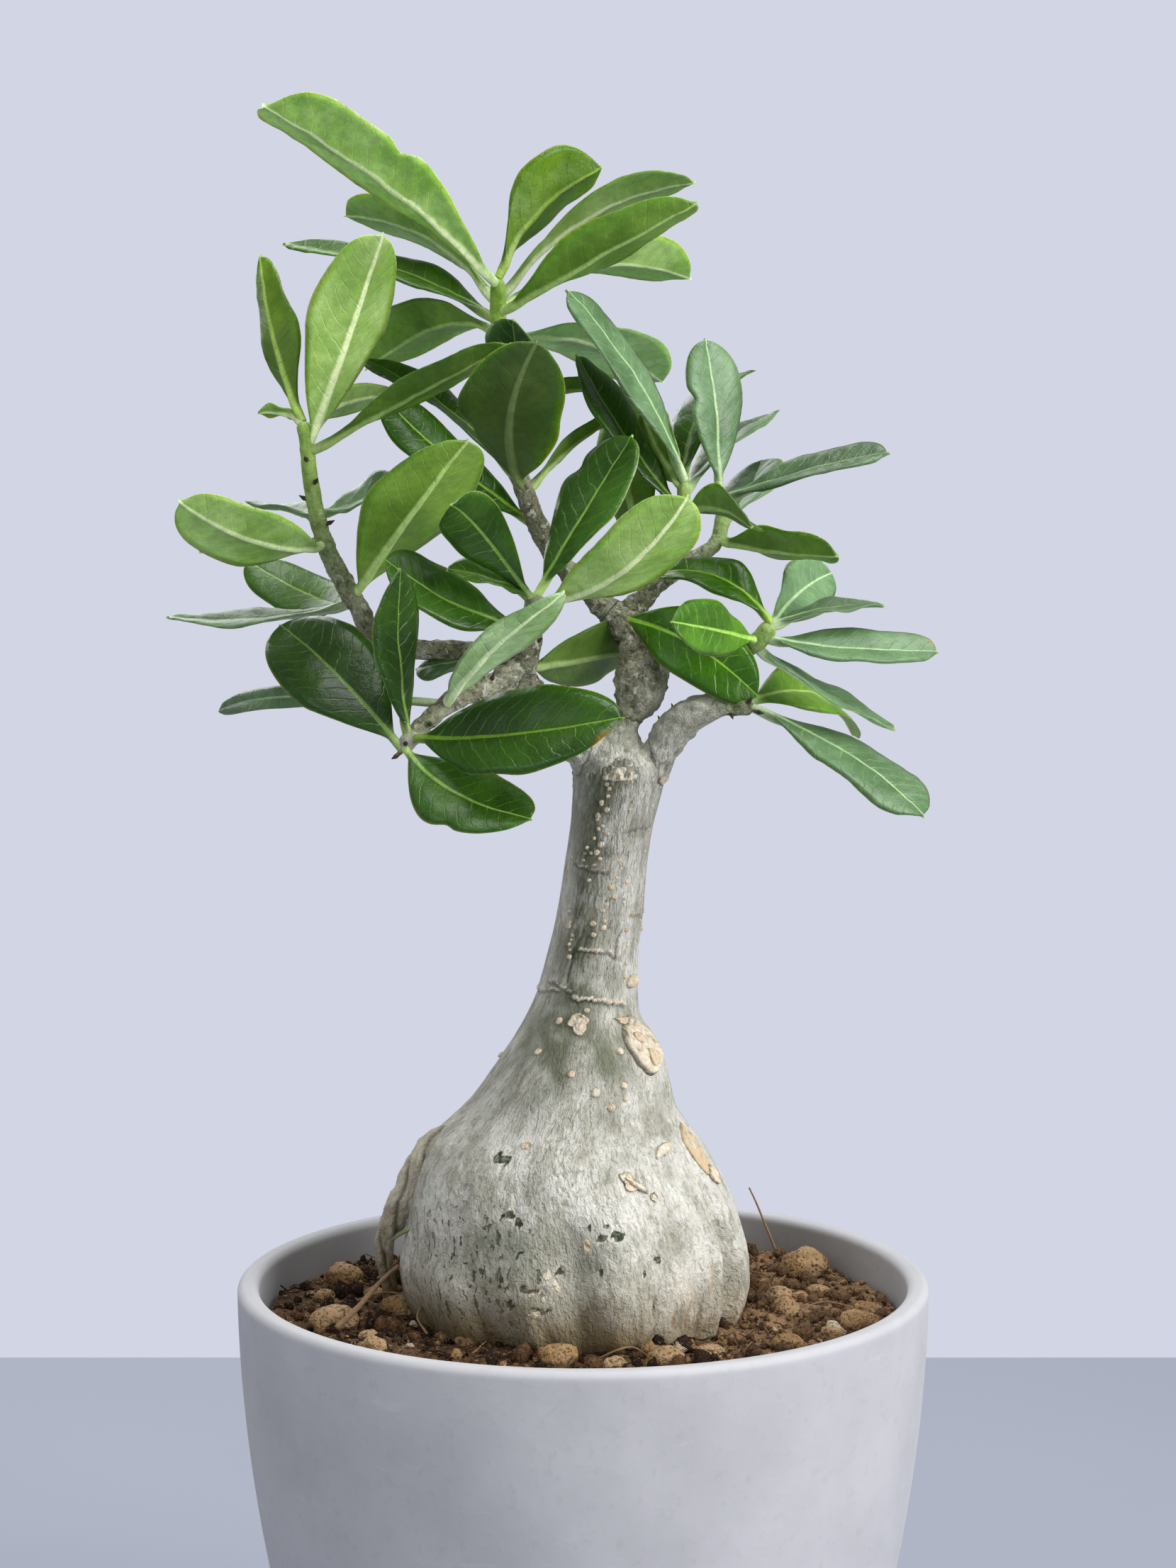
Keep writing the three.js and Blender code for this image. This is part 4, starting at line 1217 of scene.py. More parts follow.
# One kind of leaf: its two faces with their veins, then the stalk, the margin, scorched tips and fine specks
def leafMaterial(name, look):
    material, tree, give = newMaterial(name, Specular_IOR_Level=0.38, Subsurface_Weight=0.25)
    give(Subsurface_Radius=(0.6, 1.0, 0.08), Subsurface_Scale=0.003)
    look = SimpleNamespace(**look)
    place, blade = objectPlace(tree), stored(tree, "blade", "Vector")
    rim, under = stored(tree, "rim"), stored(tree, "under")
    gap, slant = leafMesh["veinGap"], leafMesh["veinSlant"]
    marks = useGroup(veins, Blade=blade, Spacing=gap, Slant=slant, Seed=stored(tree, "seed"))
    patch = bend(noise(place, 55.0, 3.0), 0.35, 0.65)
    sideVein = marks.Side * bend(rim, 0.5, 0.92, 1.0, 0.0)
    rib = sums("ABSOLUTE", axis(blade, 0)) / stored(tree, "ribWide")
    above = coated(
        mix(patch, look.above, look.deep),
        (marks.Net * 0.05, look.vein),
        (sideVein * look.lines, look.vein),
        (bend(rib, 0.35, 0.8, 0.9, 0.0), look.vein),
    )
    below = coated(
        mix(patch, look.below, look.belowDeep),
        (marks.Net * 0.10, look.belowDeep),
        (sideVein * 0.07, look.keel),
        (bend(rib, 0.8, 1.9, 0.9, 0.0), look.keel),
    )
    blend = coated(
        mix(under, above, below),
        (stored(tree, "stalk") * 0.8, look.keel),
        (bend(rim, 0.95, 1.0, 0.0, 0.4), look.keel),
    )
    skin = noise(place, 420.0, 3.0) + noise(place, 1700.0, 2.0) * 0.6
    colour = coated(
        # the colour scaled for each leaf: its own tone together with painted light and shade
        vectorSums("SCALE", {0: blend, "Scale": stored(tree, "toneAndPaintedLight")}),
        (stored(tree, "scorch"), (186, 118, 24)),
        (bend(noise(place, 900.0, 1.0), 0.71, 0.78, 0.0, 0.3), (56, 62, 20)),
        (bend(skin, 0.6, 1.0, 0.22, 0.0), (24, 44, 8)),
    )
    relief = marks.Side * -0.8 + noise(place, 520.0, 4.0, 0.6) * 0.9 + marks.Net * -0.1
    give(Base_Color=colour, Normal=bump(relief, 0.0003, 0.6))
    give(Roughness=bend(under, 0.0, 1.0, look.gloss, look.matt))
    return material


leafMaterials = {name: leafMaterial(name + "Leaf", look) for name, look in leafLooks.items()}


# Half the blade's width at v along it: a sine up to the fullest place, then a rounded fall to the tip
def halfWidth(v, wide, full, tipBend=2.6):
    up = np.sin(np.pi / 2 * np.clip(v / full, 0, 1)) ** 1.1
    down = (1 - np.clip((v - full) / (1 - full), 0, 1) ** tipBend) ** 0.52
    return wide / 2 * up * down


# points turned about one of the axes x, y and z
def turnAbout(points, axis, degrees):
    c, s = math.cos(math.radians(degrees)), math.sin(math.radians(degrees))
    i, j = [(1, 2), (2, 0), (0, 1)][axis]
    out = points.copy()
    out[..., i] = points[..., i] * c - points[..., j] * s
    out[..., j] = points[..., i] * s + points[..., j] * c
    return out


# A blade as rings from stalk to tip. Each ring goes out along the upper face and back along the lower one.
# Its middle surface is the outline, folded up from the midrib, bowed, puckered between the side veins and
# waved at the margin; the thickness is an ellipse across it, with a keel below and a groove above the midrib.
def makeLeaf(name, start, leaf, seed):
    _, heading, rise, length, wide, roll, arch, sway, fold, full = leaf["shape"]
    draw = np.random.default_rng(seed)
    rings, count = leafMesh["rings"], leafMesh["across"]
    v = ((1 - np.cos(np.pi * np.linspace(0.0, 1, rings))) / 2 * 0.998 + 0.001)[:, None]
    u = np.linspace(1, -1, count)
    c = u * (0.6 + 0.4 * u**2)
    c = np.concatenate([c, c[-2:0:-1]])[None, :]
    face = np.concatenate([np.ones(count), -np.ones(count - 2)])[None, :]
    ends = np.abs(c) > 0.999

    stalkEnd = leafMesh["petiole"]
    blade = np.clip((v - stalkEnd) / (leafMesh["blunt"] - stalkEnd), 0, 1)
    margins = np.stack([v * length + 0 * c, 30 * np.sign(c) + 0 * v, 0 * v * c], -1)
    ragged = 1 + 0.045 * softNoise(margins, 9, seed)
    half = halfWidth(blade, wide, full, leaf.get("tipBend", 2.6)) * ragged
    for side, where, deep, span in leaf.get("notches", ()):
        half = half * (1 - deep * bell((v - where) * length, span) * ease(c * side, 0, 0.25))
    point = np.minimum(0.9, 0.5 * (1 - v) * length) * ease(v, 0.9, 0.97)
    stalk = leafMesh["petioleHalf"] * fall(v, 2 * stalkEnd, 5 * stalkEnd)
    half = np.maximum(np.maximum(half, point), np.maximum(stalk, 0.08))

    side = c * half
    lift = np.radians(fold) * np.minimum(1, 4 * v)
    bow = 4 * v * (1 - v)
    soft = np.sqrt(side**2 + 1.0) - 1.0
    openness = ease(v, 0.1, 0.3) * fall(v, 0.93, 1.0)
    pucker = leaf.get("pucker", 0.2)
    phase = v * length - np.abs(side) * 0.7 + 1.3 * np.sign(c) + seed % 5
    phase = phase / leaf.get("gap", leafMesh["veinGap"])
    quilt = pucker * np.sin(np.pi * (phase % 1)) * np.sin(np.pi * np.clip(np.abs(c) / 0.86, 0, 1)) * openness
    flat = np.stack([v * length + 0 * c, side, 0 * side], -1)
    quilt = quilt + 0.3 * layeredNoise(flat, 7, seed + 3) * openness
    wave = leaf.get("wave", 0.7)
    turns = draw.uniform(1.2, 2.2)
    margin = wave * c**2 * np.sin(2 * np.pi * (v * turns + 0.25 * np.sign(c) + draw.uniform())) * openness
    edgeDown = -(np.abs(c) ** 4) * half / 12 * openness
    y = side * np.cos(lift)
    z = soft * np.sin(lift) + quilt + margin + edgeDown

    body = leafMesh["thick"] + 0.9 * fall(v, 0.03, 0.22)
    thick = body * np.sqrt(np.clip(1 - c**2, 0, 1)) + 0.03
    ribHalf = 1.15 * (1 - 0.72 * v) * (0.8 + wide / 120)
    keel = (0.95 * (1 - v) + 0.12) * bell(side, ribHalf) * ease(v, 0.0, 0.12)
    groove = 0.28 * (1 - 0.6 * v) * bell(side, 0.55) * openness
    thick = np.where(face > 0, thick - groove, -(thick + keel))
    thick = np.where(ends, 0, thick)
    x = v * length + 0 * c
    points = np.stack([x, y + sway * length * bow, z + arch * length * bow + thick], axis=-1)
    tip = np.array([length * 1.004, 0, points[-1, :, 2].mean()])
    root = np.array([-0.5, 0, points[0, :, 2].mean()])
    points = np.vstack([points.reshape(-1, 3), root, tip])
    points = turnAbout(turnAbout(turnAbout(points, 0, -roll), 1, -rise), 2, heading) + start

    scorch = leaf.get("scorch", 0)
    grid = {
        "blade": np.stack([side, x, 0 * x], axis=-1),
        "rim": np.abs(c) + 0 * v,
        "stalk": fall(v, 0.02, 0.13) + 0 * c,
        "ribWide": ribHalf + 0 * c,
        "scorch": abs(scorch) * bell(v - 0.94, 0.022) * ease(c * np.sign(scorch), 0.5, 1.0) + 0 * c,
        "under": (face < 0) + 0 * v,
        # each leaf's own tone together with painted light and shade for how lit it is
        "toneAndPaintedLight": leaf.get("toneAndPaintedLight", 1.0) + 0 * v * c,
    }
    values = {key: np.concatenate([g.reshape(-1, *g.shape[2:]), g[[0, -1], 0]]) for key, g in grid.items()}
    values["seed"] = np.full(len(points), seed % 17 * 1.7)
    uv = np.stack([values["blade"][:, 0] / wide + 0.5, values["blade"][:, 1] / length], axis=1)
    return newObject(name, points, *ringFaces(rings, c.shape[1]), values=values, uv=uv)


# Every leaf on its stem, in the frame's order: place on the stem, heading, rise, length, width, roll, arch,
# sway, fold, fullest place. Then its look and any further touches: the brightness touch scales its colour,
# partly for the leaf's own tone and partly as painted light and shade for how brightly the leaf is lit,
# pucker and wave are heights in millimetres, gap is the way between side veins, a higher tipBend makes the
# tip blunter, notches are (side, place, depth, half length), scorch browns one side of the tip, and on gives
# another stem.
leaves = {
    "lowRight": [
        ((0.03, -21, -27, 48, 21, -82, 0.13, 0.09, 15, 0.55), "vivid", {"toneAndPaintedLight": 1.5, "on": "crown"}),
        ((0.93, 50, -12, 56, 22, -40, 0.14, 0.06, 15, 0.5), "fresh", {"toneAndPaintedLight": 1.1}),
        ((1.00, -42, -24, 65, 22, -11, 0, 0.09, 4, 0.62), "grey", {"toneAndPaintedLight": 1.15}),
    ],
    "right": [
        ((1.00, 156, 22, 37, 18, 28, 0.16, -0.05, 14, 0.55), "vivid", {}),
        ((0.87, -124, 9, 46, 16, 87, 0, -0.01, 12, 0.55), "green", {"toneAndPaintedLight": 1.6}),
        ((0.97, 66, 15, 54, 18, -66, 0.01, 0.04, 12, 0.6), "grey", {"toneAndPaintedLight": 1.5}),
        ((0.90, -12, -4, 50, 20, -28, -0.02, -0.01, 14, 0.58), "grey", {"toneAndPaintedLight": 1.25, "scorch": 0.7}),
        ((0.83, -14, -30, 47, 18, -4, -0.03, 0, 14, 0.6), "grey", {"toneAndPaintedLight": 1.6}),
    ],
    "lowLeft": [
        ((1.00, 139, 34, 59, 27, 43, 0.12, 0, 7, 0.5), "deep", {"toneAndPaintedLight": 0.85}),
        ((0.60, 142, -4, 89, 7, 81, 0.17, -0.02, 16, 0.6), "grey", {}),
        ((0.93, -99, 78, 49, 20, 114, -0.04, 0, 2, 0.55), "deep", {}),
        ((0.62, -45, 35, 58, 18, 8, -0.02, -0.09, 2, 0.55), "grey", {"toneAndPaintedLight": 1.8}),
        ((0.91, -31, 7, 69, 28, -57, 0.05, -0.06, 13, 0.5), "vivid", {"toneAndPaintedLight": 0.8, "scorch": -0.55}),
        ((0.98, -37, -21, 48, 24, -37, 0.01, -0.1, 2, 0.5), "deep",
         {"toneAndPaintedLight": 1.55, "notches": ((-1, 0.62, 0.14, 3),)}),
    ],
    "heart": [
        ((0.88, -116, 30, 57, 17, 131, -0.15, -0.03, 2, 0.6), "deep", {"toneAndPaintedLight": 1.25}),
        ((1.00, 16, 58, 53, 24, -31, 0.01, 0, 14, 0.6), "deep",
         {"toneAndPaintedLight": 1.75, "notches": ((1, 0.72, 0.16, 3),)}),
        ((0.90, -41, 29, 63, 28, 22, -0.1, 0.04, 12, 0.62), "fresh", {"toneAndPaintedLight": 1.45}),
        ((0.54, -164, 26, 47, 20, 53, -0.08, 0, 14, 0.6), "deep", {"toneAndPaintedLight": 1.5}),
        ((0.08, 38, 6, 44, 24, 54, -0.03, 0, 14, 0.5), "green", {"toneAndPaintedLight": 0.95}),
    ],
    "left": [
        ((0.93, -22, 68, 65, 28, 34, 0.02, 0.02, 24, 0.6), "fresh", {"toneAndPaintedLight": 1.4}),
        ((1.00, 130, 67, 52, 18, -95, -0.05, 0, 22, 0.52), "vivid", {"toneAndPaintedLight": 0.95, "tipBend": 1.5}),
        ((0.92, -28, 24, 73, 18, 14, 0.01, 0.01, 16, 0.72), "green", {}),
        ((0.77, 5, 25, 26, 18, -21, -0.09, 0, 18, 0.6), "grey", {}),
        ((0.69, -131, 13, 57, 25, -32, -0.12, 0.01, 6, 0.6), "fresh", {"toneAndPaintedLight": 1.25}),
        ((0.75, 124, 5, 35, 20, 0, 0.05, -0.01, 14, 0.62), "grey", {}),
        ((0.53, 128, 10, 60, 19, 31, -0.15, -0.06, 2, 0.6), "green", {}),
        ((0.53, 171, -5, 56, 19, 12, -0.05, 0.01, 11, 0.6), "grey", {}),
        ((0.54, -46, 42, 67, 31, 14, 0.02, 0, 10, 0.56), "green", {"toneAndPaintedLight": 1.55}),
    ],
    "crown": [
        ((0.98, -139, 29, 92, 31, -12, -0.01, 0.07, 24, 0.74), "fresh",
         {"toneAndPaintedLight": 1.35, "gap": 7, "pucker": 1.2, "tipBend": 4, "notches": ((1, 0.62, 0.2, 3.5),)}),
        ((0.93, 136, 24, 71, 24, -39, 0.09, 0.03, 14, 0.66), "fresh", {}),
        ((0.89, 149, 18, 79, 21, 13, 0.03, -0.06, 15, 0.5), "green", {}),
        ((1.00, 25, 45, 46, 29, 53, 0.08, -0.06, 26, 0.7), "vivid", {"toneAndPaintedLight": 0.9}),
        ((0.94, 12, 31, 67, 23, 24, 0.11, -0.02, 12, 0.62), "fresh", {"toneAndPaintedLight": 0.75, "pucker": 0.45}),
        ((0.91, -37, 22, 74, 25, 15, -0.02, -0.03, 24, 0.62), "green", {"toneAndPaintedLight": 1.3}),
        ((0.92, 39, 9, 73, 26, 26, 0.1, -0.05, 20, 0.62), "fresh", {"toneAndPaintedLight": 1.25}),
        ((0.86, 127, -7, 70, 27, -22, 0.13, -0.02, 24, 0.6), "green", {"toneAndPaintedLight": 1.4}),
        ((0.84, 43, -9, 66, 28, 18, 0.09, -0.02, 8, 0.62), "grey", {"toneAndPaintedLight": 2.1}),
        ((0.61, -81, 68, 33, 24, -124, -0.06, -0.02, 12, 0.66), "deep", {}),
        ((0.45, -84, 42, 60, 29, 19, -0.07, -0.08, 2, 0.56), "green",
         {"toneAndPaintedLight": 0.5, "wave": 1.4, "notches": ((-1, 0.42, 0.2, 4),)}),
        ((0.34, 167, 39, 61, 17, 41, 0, 0.03, 2, 0.62), "vivid", {"toneAndPaintedLight": 1.2}),
        ((0.46, 138, 29, 77, 16, 6, 0.06, -0.01, 18, 0.62), "deep", {}),
        ((0.71, 41, 2, 43, 12, 24, 0.01, 0, 16, 0.66), "green", {}),
    ],
    "shoulder": [
        ((0.32, 108, 67, 64, 21, -132, -0.07, -0.05, 14, 0.66), "green", {}),
        ((1.00, 155, 84, 44, 20, 29, 0.03, -0.01, 10, 0.6), "grey",
         {"toneAndPaintedLight": 1.25, "notches": ((1, 0.6, 0.25, 2.5),)}),
        ((0.95, -21, 15, 52, 19, -28, 0.03, 0, 16, 0.6), "grey", {"toneAndPaintedLight": 0.72, "pucker": 0.4}),
        ((0.83, 66, 29, 37, 22, 15, -0.05, -0.02, 12, 0.6), "grey", {}),
        ((0.74, -36, -6, 41, 20, 33, -0.03, 0.01, 24, 0.55), "green", {"toneAndPaintedLight": 1.2}),
    ],
    "spur": [
        ((1.00, 194, 57, 64, 20, 41, 0.05, -0.02, 4, 0.6), "grey", {"toneAndPaintedLight": 1.25}),
        ((0.66, 179, 56, 55, 18, 35, -0.02, 0.01, 15, 0.6), "deep", {}),
        ((0.90, 63, 38, 57, 21, 17, 0.12, 0.03, 14, 0.62), "deep", {}),
        ((0.86, 58, 24, 59, 18, 11, 0.05, 0.01, 12, 0.6), "grey", {}),
        ((0.70, -62, -6, 39, 18, 45, 0.08, -0.02, 20, 0.55), "green", {}),
    ],
}
# smaller leaves that the frame has no node for
smallLeaves = {
    "left": [
        ((0.97, 47, 17, 39, 10, 59, 0.14, 0, 14, 0.6), "fresh", {}),
        ((0.70, 155, -5, 42, 17, -23, -0.01, 0, 14, 0.6), "fresh", {}),
        ((1.00, 176, 11, 13, 7, -31, 0.1, 0, 13, 0.6), "fresh", {}),
    ],
    "heart": [
        ((0.95, -158, 18, 28, 14, 25, 0.05, -0.01, 14, 0.6), "green", {}),
        ((0.35, 157, -12, 36, 18, 29, -0.01, 0, 12, 0.6), "grey", {}),
    ],
    "crown": [((0.44, 37, 33, 44, 14, 39, 0.05, -0.01, 14, 0.7), "green", {})],
    "spur": [((0.91, 134, 54, 29, 17, -85, -0.04, -0.02, 14, 0.6), "green", {})],
    "right": [((0.98, 17, 9, 35, 15, -10, 0.06, 0.01, 14, 0.6), "grey", {})],
}

seed = 200
for kind, table in (("Leaf", leaves), ("SmallLeaf", smallLeaves)):
    for stem, rows in table.items():
        for i, (shape, look, touches) in enumerate(rows, 1):
            seed += 1
            start = stemPoint(touches.get("on", stem), shape[0])
            piece = makeLeaf(f"{stem}{kind}{i}", start, {"shape": shape, **touches}, seed)
            nodes = [f"leaf_{stem}_{i}"] if table is leaves else []
            finishPiece(piece, leafMaterials[look], "leaf", *nodes)
print("leaves made")

# the soil: a bed that fills the planter inside its wall
soil = {"sides": 420, "topRings": 84, "inner": 30, "gap": 0.5, "level": soilTopHeight - 1.2, "mound": 1.4}
innerRadius = potOuter(soil["level"]) - pot["wall"] - soil["gap"]


# the soil's height at x, y: a low mound, hummocks, and crumbs that stand up as rounded heads
def soilTop(x, y):
    flat = np.stack([x, y, 0 * x], axis=-1)
    reach = np.hypot(x, y) / innerRadius
    heads = 1 - np.abs(softNoise(flat, 5.5, 301))
    crumbs = 1 - np.abs(softNoise(flat, 2.3, 303))
    top = soil["level"] + soil["mound"] * (1 - reach) + 1.5 * softNoise(flat, 19, 305)
    return top + 1.6 * (heads - 0.6) + 0.8 * (crumbs - 0.6) + 0.3 * softNoise(flat, 0.9, 307)


# a closed body of rings: out along the bottom, up the wall, and in over the crumbly top to the middle
def makeSoil():
    base = pot["floor"] + 0.6
    walls = np.linspace(base, soil["level"] - 4, 12)
    edge = potOuter(walls) - pot["wall"] - soil["gap"]
    top = np.linspace(innerRadius, soil["inner"], soil["topRings"])
    turn = fullTurn(soil["sides"])
    wall = innerRadius * np.stack([np.cos(turn), np.sin(turn), 0 * turn], axis=-1)
    wobble = 0.9 * softNoise(wall, 4, 311)
    under = [pot["flat"], pot["underEdge"]]
    over = len(under) + len(walls)  # the first ring of the top
    radius = np.concatenate([under, edge - 0.4, top])[:, None] + 0 * turn
    radius[over:] -= (0.4 + np.abs(wobble)) * ease(top, innerRadius - 6, innerRadius)[:, None]
    x, y = radius * np.cos(turn), radius * np.sin(turn)
    z = np.concatenate([[base, base], walls, top * 0])[:, None] + 0 * turn
    z[over:] = soilTop(x[over:], y[over:]) - 1.5 * ease(radius[over:], innerRadius - 2.5, innerRadius)
    rings = np.stack([x, y, z], axis=-1)
    points = np.vstack([rings.reshape(-1, 3), [[0, 0, base], [0, 0, soil["level"]]]])
    return newObject("soilBed", points, *ringFaces(len(radius), soil["sides"]))


soilLook, tree, give = newMaterial("soilEarth", Specular_IOR_Level=0.2)
place = objectPlace(tree)
marks = useGroup(mottle, Place=place, Fineness=60.0)
grit = noise(place, 480.0, 2.0)
earth = coated(
    mix(marks.Cloud, (44, 31, 23), (94, 68, 46)),
    # painted light: lighter towards the right, the side that the window lights
    (bend(axis(place, 0), -0.02, 0.05, 0.1, 0.8), mix(marks.Cloud, (118, 90, 66), (146, 116, 86))),
    (marks.Speck * 0.8, (186, 154, 112)),
    # painted shade: near black in the hollows of the bump
    (bend(grit, 0.36, 0.44, 0.85, 0.0), (30, 22, 18)),
)
give(Base_Color=earth, Roughness=bend(marks.Cloud, 0.0, 1.0, 0.88, 0.97))
give(Normal=bump(marks.Height + grit, 0.0012, 0.9))
finishPiece(makeSoil(), soilLook, "soil", "soil")


# a ball of radius 1 as rings from its lowest point to its highest, then both poles
def ballPoints(rings, sides):
    rise = np.linspace(0, np.pi, rings + 2)[1:-1, None]
    turn = fullTurn(sides)[None, :]
    ball = np.stack([np.sin(rise) * np.cos(turn), np.sin(rise) * np.sin(turn), -np.cos(rise) + 0 * turn], -1)
    return np.vstack([ball.reshape(-1, 3), [[0, 0, -1], [0, 0, 1]]])


# A rough stone: a ball whose radius follows noise in three sizes, with dents for pores, stretched to its size
def lumpBody(centre, size, seed, rings=30, sides=44):
    ball = ballPoints(rings, sides)
    form = 1 + 0.22 * softNoise(ball + seed, 0.9, seed) + 0.10 * softNoise(ball + seed, 0.4, seed + 1)
    form = form + 0.05 * softNoise(ball, 0.18, seed + 2)
    form = form - 0.10 * ease(softNoise(ball, 0.22, seed + 3), 0.5, 0.9)
    return centre + ball * form[:, None] * np.asarray(size), *ringFaces(rings, sides)


stoneLook, tree, give = newMaterial("pumice", Specular_IOR_Level=0.2)
place = objectPlace(tree)
marks = useGroup(mottle, Place=place, Fineness=150.0)
pores = noise(place, 900.0, 2.0)
rock = coated(
    mix(marks.Cloud, (176, 142, 98), (128, 96, 60)),
    (bend(noise(place, 55.0, 2.0), 0.4, 0.6, 0.0, 0.6), (196, 168, 134)),
    # painted shade in the pores, the dents of the bump
    (bend(pores, 0.36, 0.46, 0.8, 0.0), (96, 66, 40)),
    (marks.Speck * 0.4, (222, 200, 166)),
)
give(Base_Color=rock, Roughness=bend(marks.Cloud, 0.0, 1.0, 0.85, 0.96))
give(Normal=bump(marks.Height + pores, 0.0016))

for i in range(1, 6):
    low, high = nodeBox(f"pumice_{i}")
    body = lumpBody((low + high) / 2, (high - low) / 2, 319 + i)
    finishPiece(newObject(f"pumiceLump{i}", *body), stoneLook, "pumice", f"pumice_{i}")

# smaller stones that the frame has no node for: x, y, radius
smallStones = [
    (-52, -5, 5.5), (-40, -28, 3), (-31, -33, 4.6), (-7, -53, 6.1), (9, -57, 3.6), (23, -55, 5.2),
    (58, 12, 4.0), (54, 27, 3.0), (64, 14, 2.8), (70, 21, 3.6), (83, 2, 4.4), (70, -28, 3.4),
    (57, -41, 4), (35, -50, 4.2), (-62, 14, 3.2), (-20, 62, 4.4), (12, 68, 5.0), (40, 60, 3.6),
    (-48, 54, 4.6), (-2, 80, 3.4), (24, 84, 4.2), (-60, -34, 3.0), (-58, -44, 3.8), (48, -58, 3.2),
    (-76, 8, 2.8),
]
bodies = []
for i, (x, y, radius) in enumerate(smallStones):
    level = soilTop(np.array([float(x)]), np.array([float(y)]))[0]
    centre = (x, y, level + radius * 0.25)
    bodies.append(lumpBody(centre, np.array([1, 0.85, 0.75]) * radius, 340 + i, 20, 30))
finishPiece(joinBodies("smallStones", bodies), stoneLook, "pumice")


# many crumbs at once: one ball of few faces, copied, stretched, roughened, turned and sunk into the soil
def makeCrumbs(name, count, sizes, spread, seed):
    draw = np.random.default_rng(seed)
    rings, sides = 4, 7
    ball = ballPoints(rings, sides)
    quads, tris = ringFaces(rings, sides)
    angle = draw.uniform(0, 2 * np.pi, count)
    reach = np.sqrt(draw.uniform(spread[0] ** 2, spread[1] ** 2, count))
    x, y = reach * np.cos(angle), reach * np.sin(angle)
    size = sizes[0] + (sizes[1] - sizes[0]) * draw.random(count) ** 2.5
    shape = draw.uniform(0.65, 1.25, (count, 1, 3))
    shape = shape * (1 + 0.22 * draw.normal(size=(count, len(ball), 1)).clip(-1.4, 1.4))
    placed = ball[None] * shape * size[:, None, None]
    spin = draw.uniform(0, 2 * np.pi, count)[:, None]
    lean = draw.uniform(-0.8, 0.8, count)[:, None]
    px = placed[..., 0] * np.cos(spin) - placed[..., 1] * np.sin(spin)
    py = placed[..., 0] * np.sin(spin) + placed[..., 1] * np.cos(spin)
    qx = px * np.cos(lean) + placed[..., 2] * np.sin(lean)
    qz = placed[..., 2] * np.cos(lean) - px * np.sin(lean)
    level = soilTop(x, y)[:, None] + size[:, None] * 0.3
    points = np.stack([qx + x[:, None], py + y[:, None], qz + level], axis=-1).reshape(-1, 3)
    shift = (np.arange(count) * len(ball))[:, None, None]
    quads, tris = (quads[None] + shift).reshape(-1, 4), (tris[None] + shift).reshape(-1, 3)
    return newObject(name, points, quads, tris, {"tone": np.repeat(draw.random(count), len(ball))})


crumbLook, tree, give = newMaterial("crumbs", Specular_IOR_Level=0.2)
place = objectPlace(tree)
tone = stored(tree, "tone")
grains = noise(place, 1100.0, 3.0, 0.7)
crumb = coated(
    mix(bend(tone, 0.35, 0.7), (40, 28, 20), (100, 72, 48)),
    # painted light: lighter towards the right, the side that the window lights
    (bend(axis(place, 0), 0.02, 0.07, 0.0, 0.55), (132, 102, 74)),
    (bend(tone, 0.86, 0.92), (164, 130, 88)),
    (bend(tone, 0.975, 0.985), (214, 196, 166)),
    (bend(grains, 0.56, 0.66, 0.0, 0.55), (158, 122, 82)),
    # painted shade: near black in the hollows of the bump
    (bend(grains, 0.36, 0.48, 0.8, 0.0), (34, 24, 17)),
)
give(Base_Color=crumb, Roughness=bend(tone, 0.0, 1.0, 0.97, 0.88), Normal=bump(grains, 0.0016))
finishPiece(makeCrumbs("crumbs", 2000, (0.4, 1.5), (34, innerRadius - 2), 401), crumbLook, "soil")
finishPiece(makeCrumbs("clods", 240, (1.5, 3.4), (38, innerRadius - 4), 402), crumbLook, "soil")


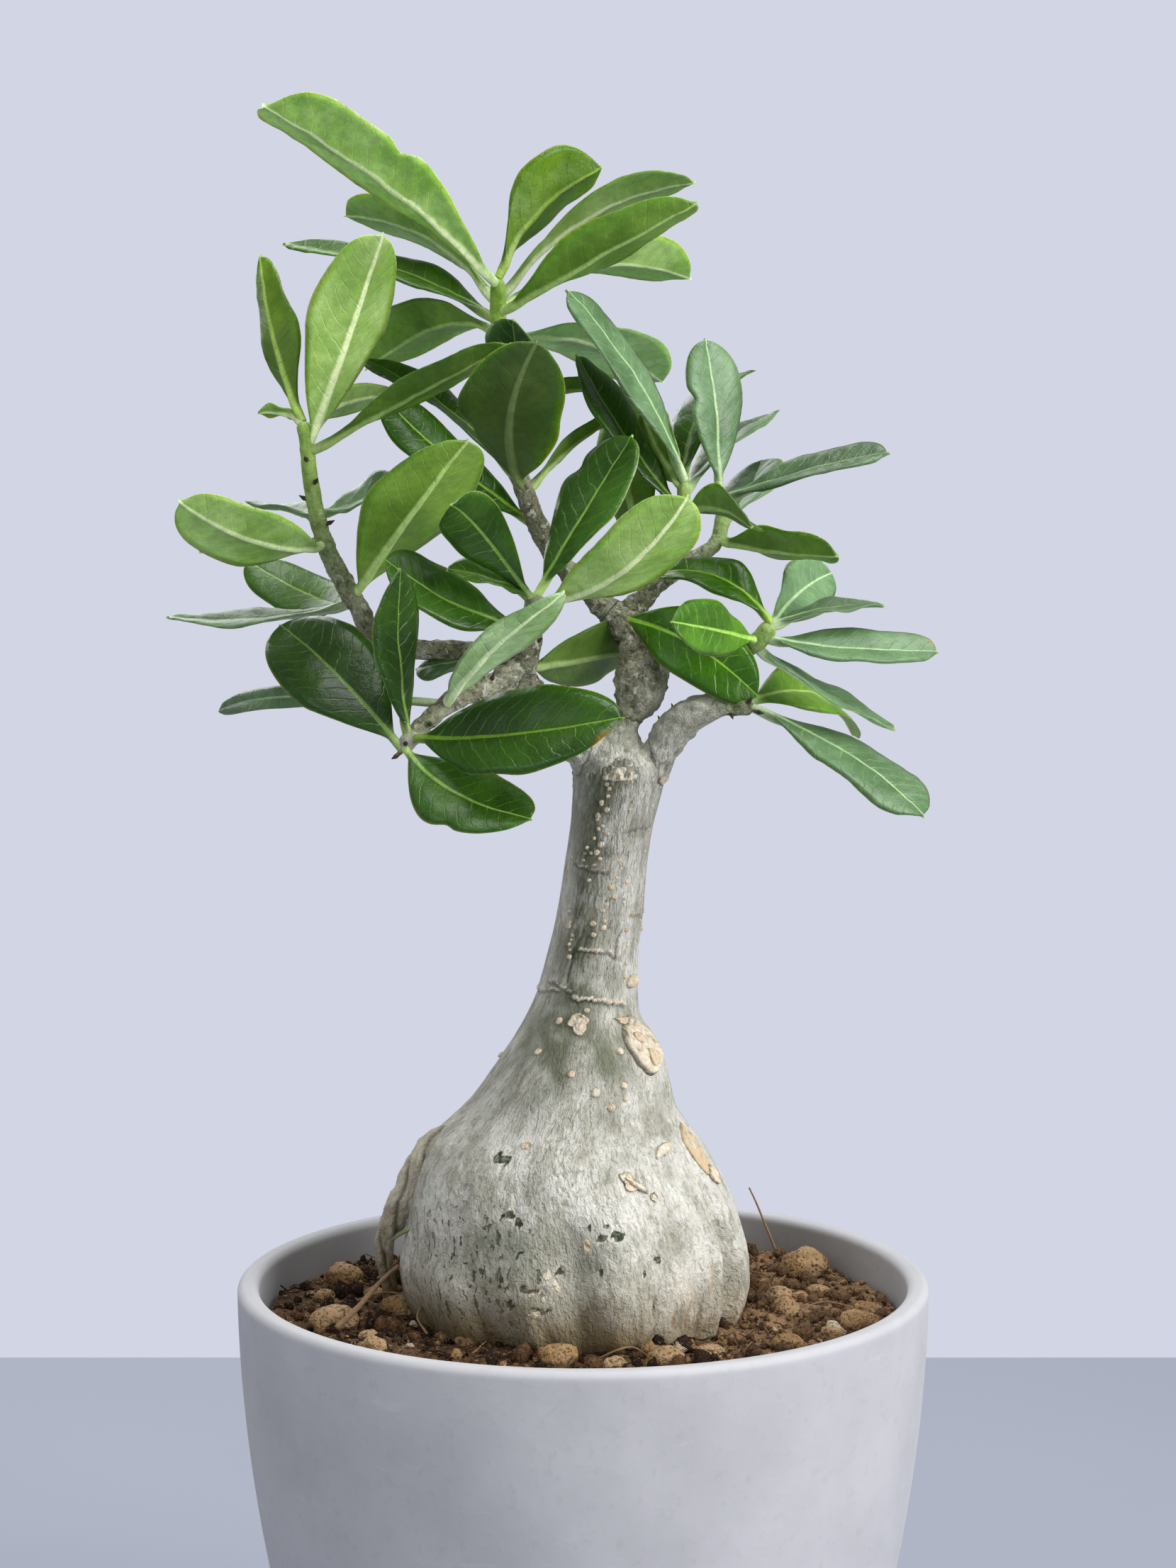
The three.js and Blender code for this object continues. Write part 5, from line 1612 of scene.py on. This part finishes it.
# short fibres strewn on the soil: thin three-sided rods, bent once, at any heading and a low slope
def makeFibres(count, seed):
    draw = np.random.default_rng(seed)
    angle = draw.uniform(0, 2 * np.pi, count)
    reach = np.sqrt(draw.uniform(40**2, (innerRadius - 4) ** 2, count))
    place = np.stack([reach * np.cos(angle), reach * np.sin(angle)], axis=1)
    heading, length = draw.uniform(0, 2 * np.pi, count), draw.uniform(2.5, 9, count)
    way = np.stack([np.cos(heading), np.sin(heading)], axis=1)
    bodies = []
    for i in range(count):
        steps = np.linspace(-0.5, 0.5, 4)[:, None] * length[i]
        bent = place[i] + way[i] * steps + way[i][::-1] * [1, -1] * 0.3 * (steps**2) / length[i]
        level = soilTop(bent[:, 0], bent[:, 1]) + draw.uniform(0.4, 1.8, 4)
        points = np.column_stack([bent, level])
        ahead = np.gradient(points, axis=0)
        ahead = ahead / np.linalg.norm(ahead, axis=1, keepdims=True)
        thick = draw.uniform(0.10, 0.28)
        placed, _ = tubePoints(points, ahead, np.full(4, thick), 3)
        bodies.append((placed, *ringFaces(4, 3), {"tone": np.full(len(placed), draw.uniform(0.2, 0.95))}))
    return joinBodies("fibres", bodies)


finishPiece(makeFibres(520, 403), crumbLook, "soil")

# twigs and rootlets lying on the soil: each one's path and its thickness at the start and end
twigs = [
    ([[-70, -24, 166], [-64, -20, 171], [-58, -15, 177], [-53, -12, 181]], 0.9, 0.6),
    ([[60, 66, 166], [57, 69, 173], [54, 72, 180], [52, 74, 184]], 0.45, 0.25),
    ([[-44, -30, 166], [-47, -24, 169], [-46, -16, 171], [-50, -8, 168]], 0.35, 0.2),
    ([[-66, 2, 167], [-58, 0, 170], [-52, -4, 170], [-46, -8, 166]], 0.35, 0.25),
    ([[62, -8, 166], [68, -4, 168], [75, -6, 168], [80, -3, 165]], 0.3, 0.2),
    ([[4, -52, 165], [10, -53, 168], [14, -51, 168], [19, -52, 165]], 0.3, 0.2),
]
twigLook, tree, give = newMaterial("dryTwig", Roughness=0.8, Specular_IOR_Level=0.25)
twigGrain = noise(objectPlace(tree), 700.0, 3.0)
give(Base_Color=mix(twigGrain, (96, 72, 54), (156, 126, 98)), Normal=bump(twigGrain, 0.0003, 0.8))
for i, (path, thick, thin) in enumerate(twigs):
    finishPiece(makeTwig(f"twig{i + 1}", path, thick, thin, 411 + i), twigLook, "soil")
print("soil and litter made")
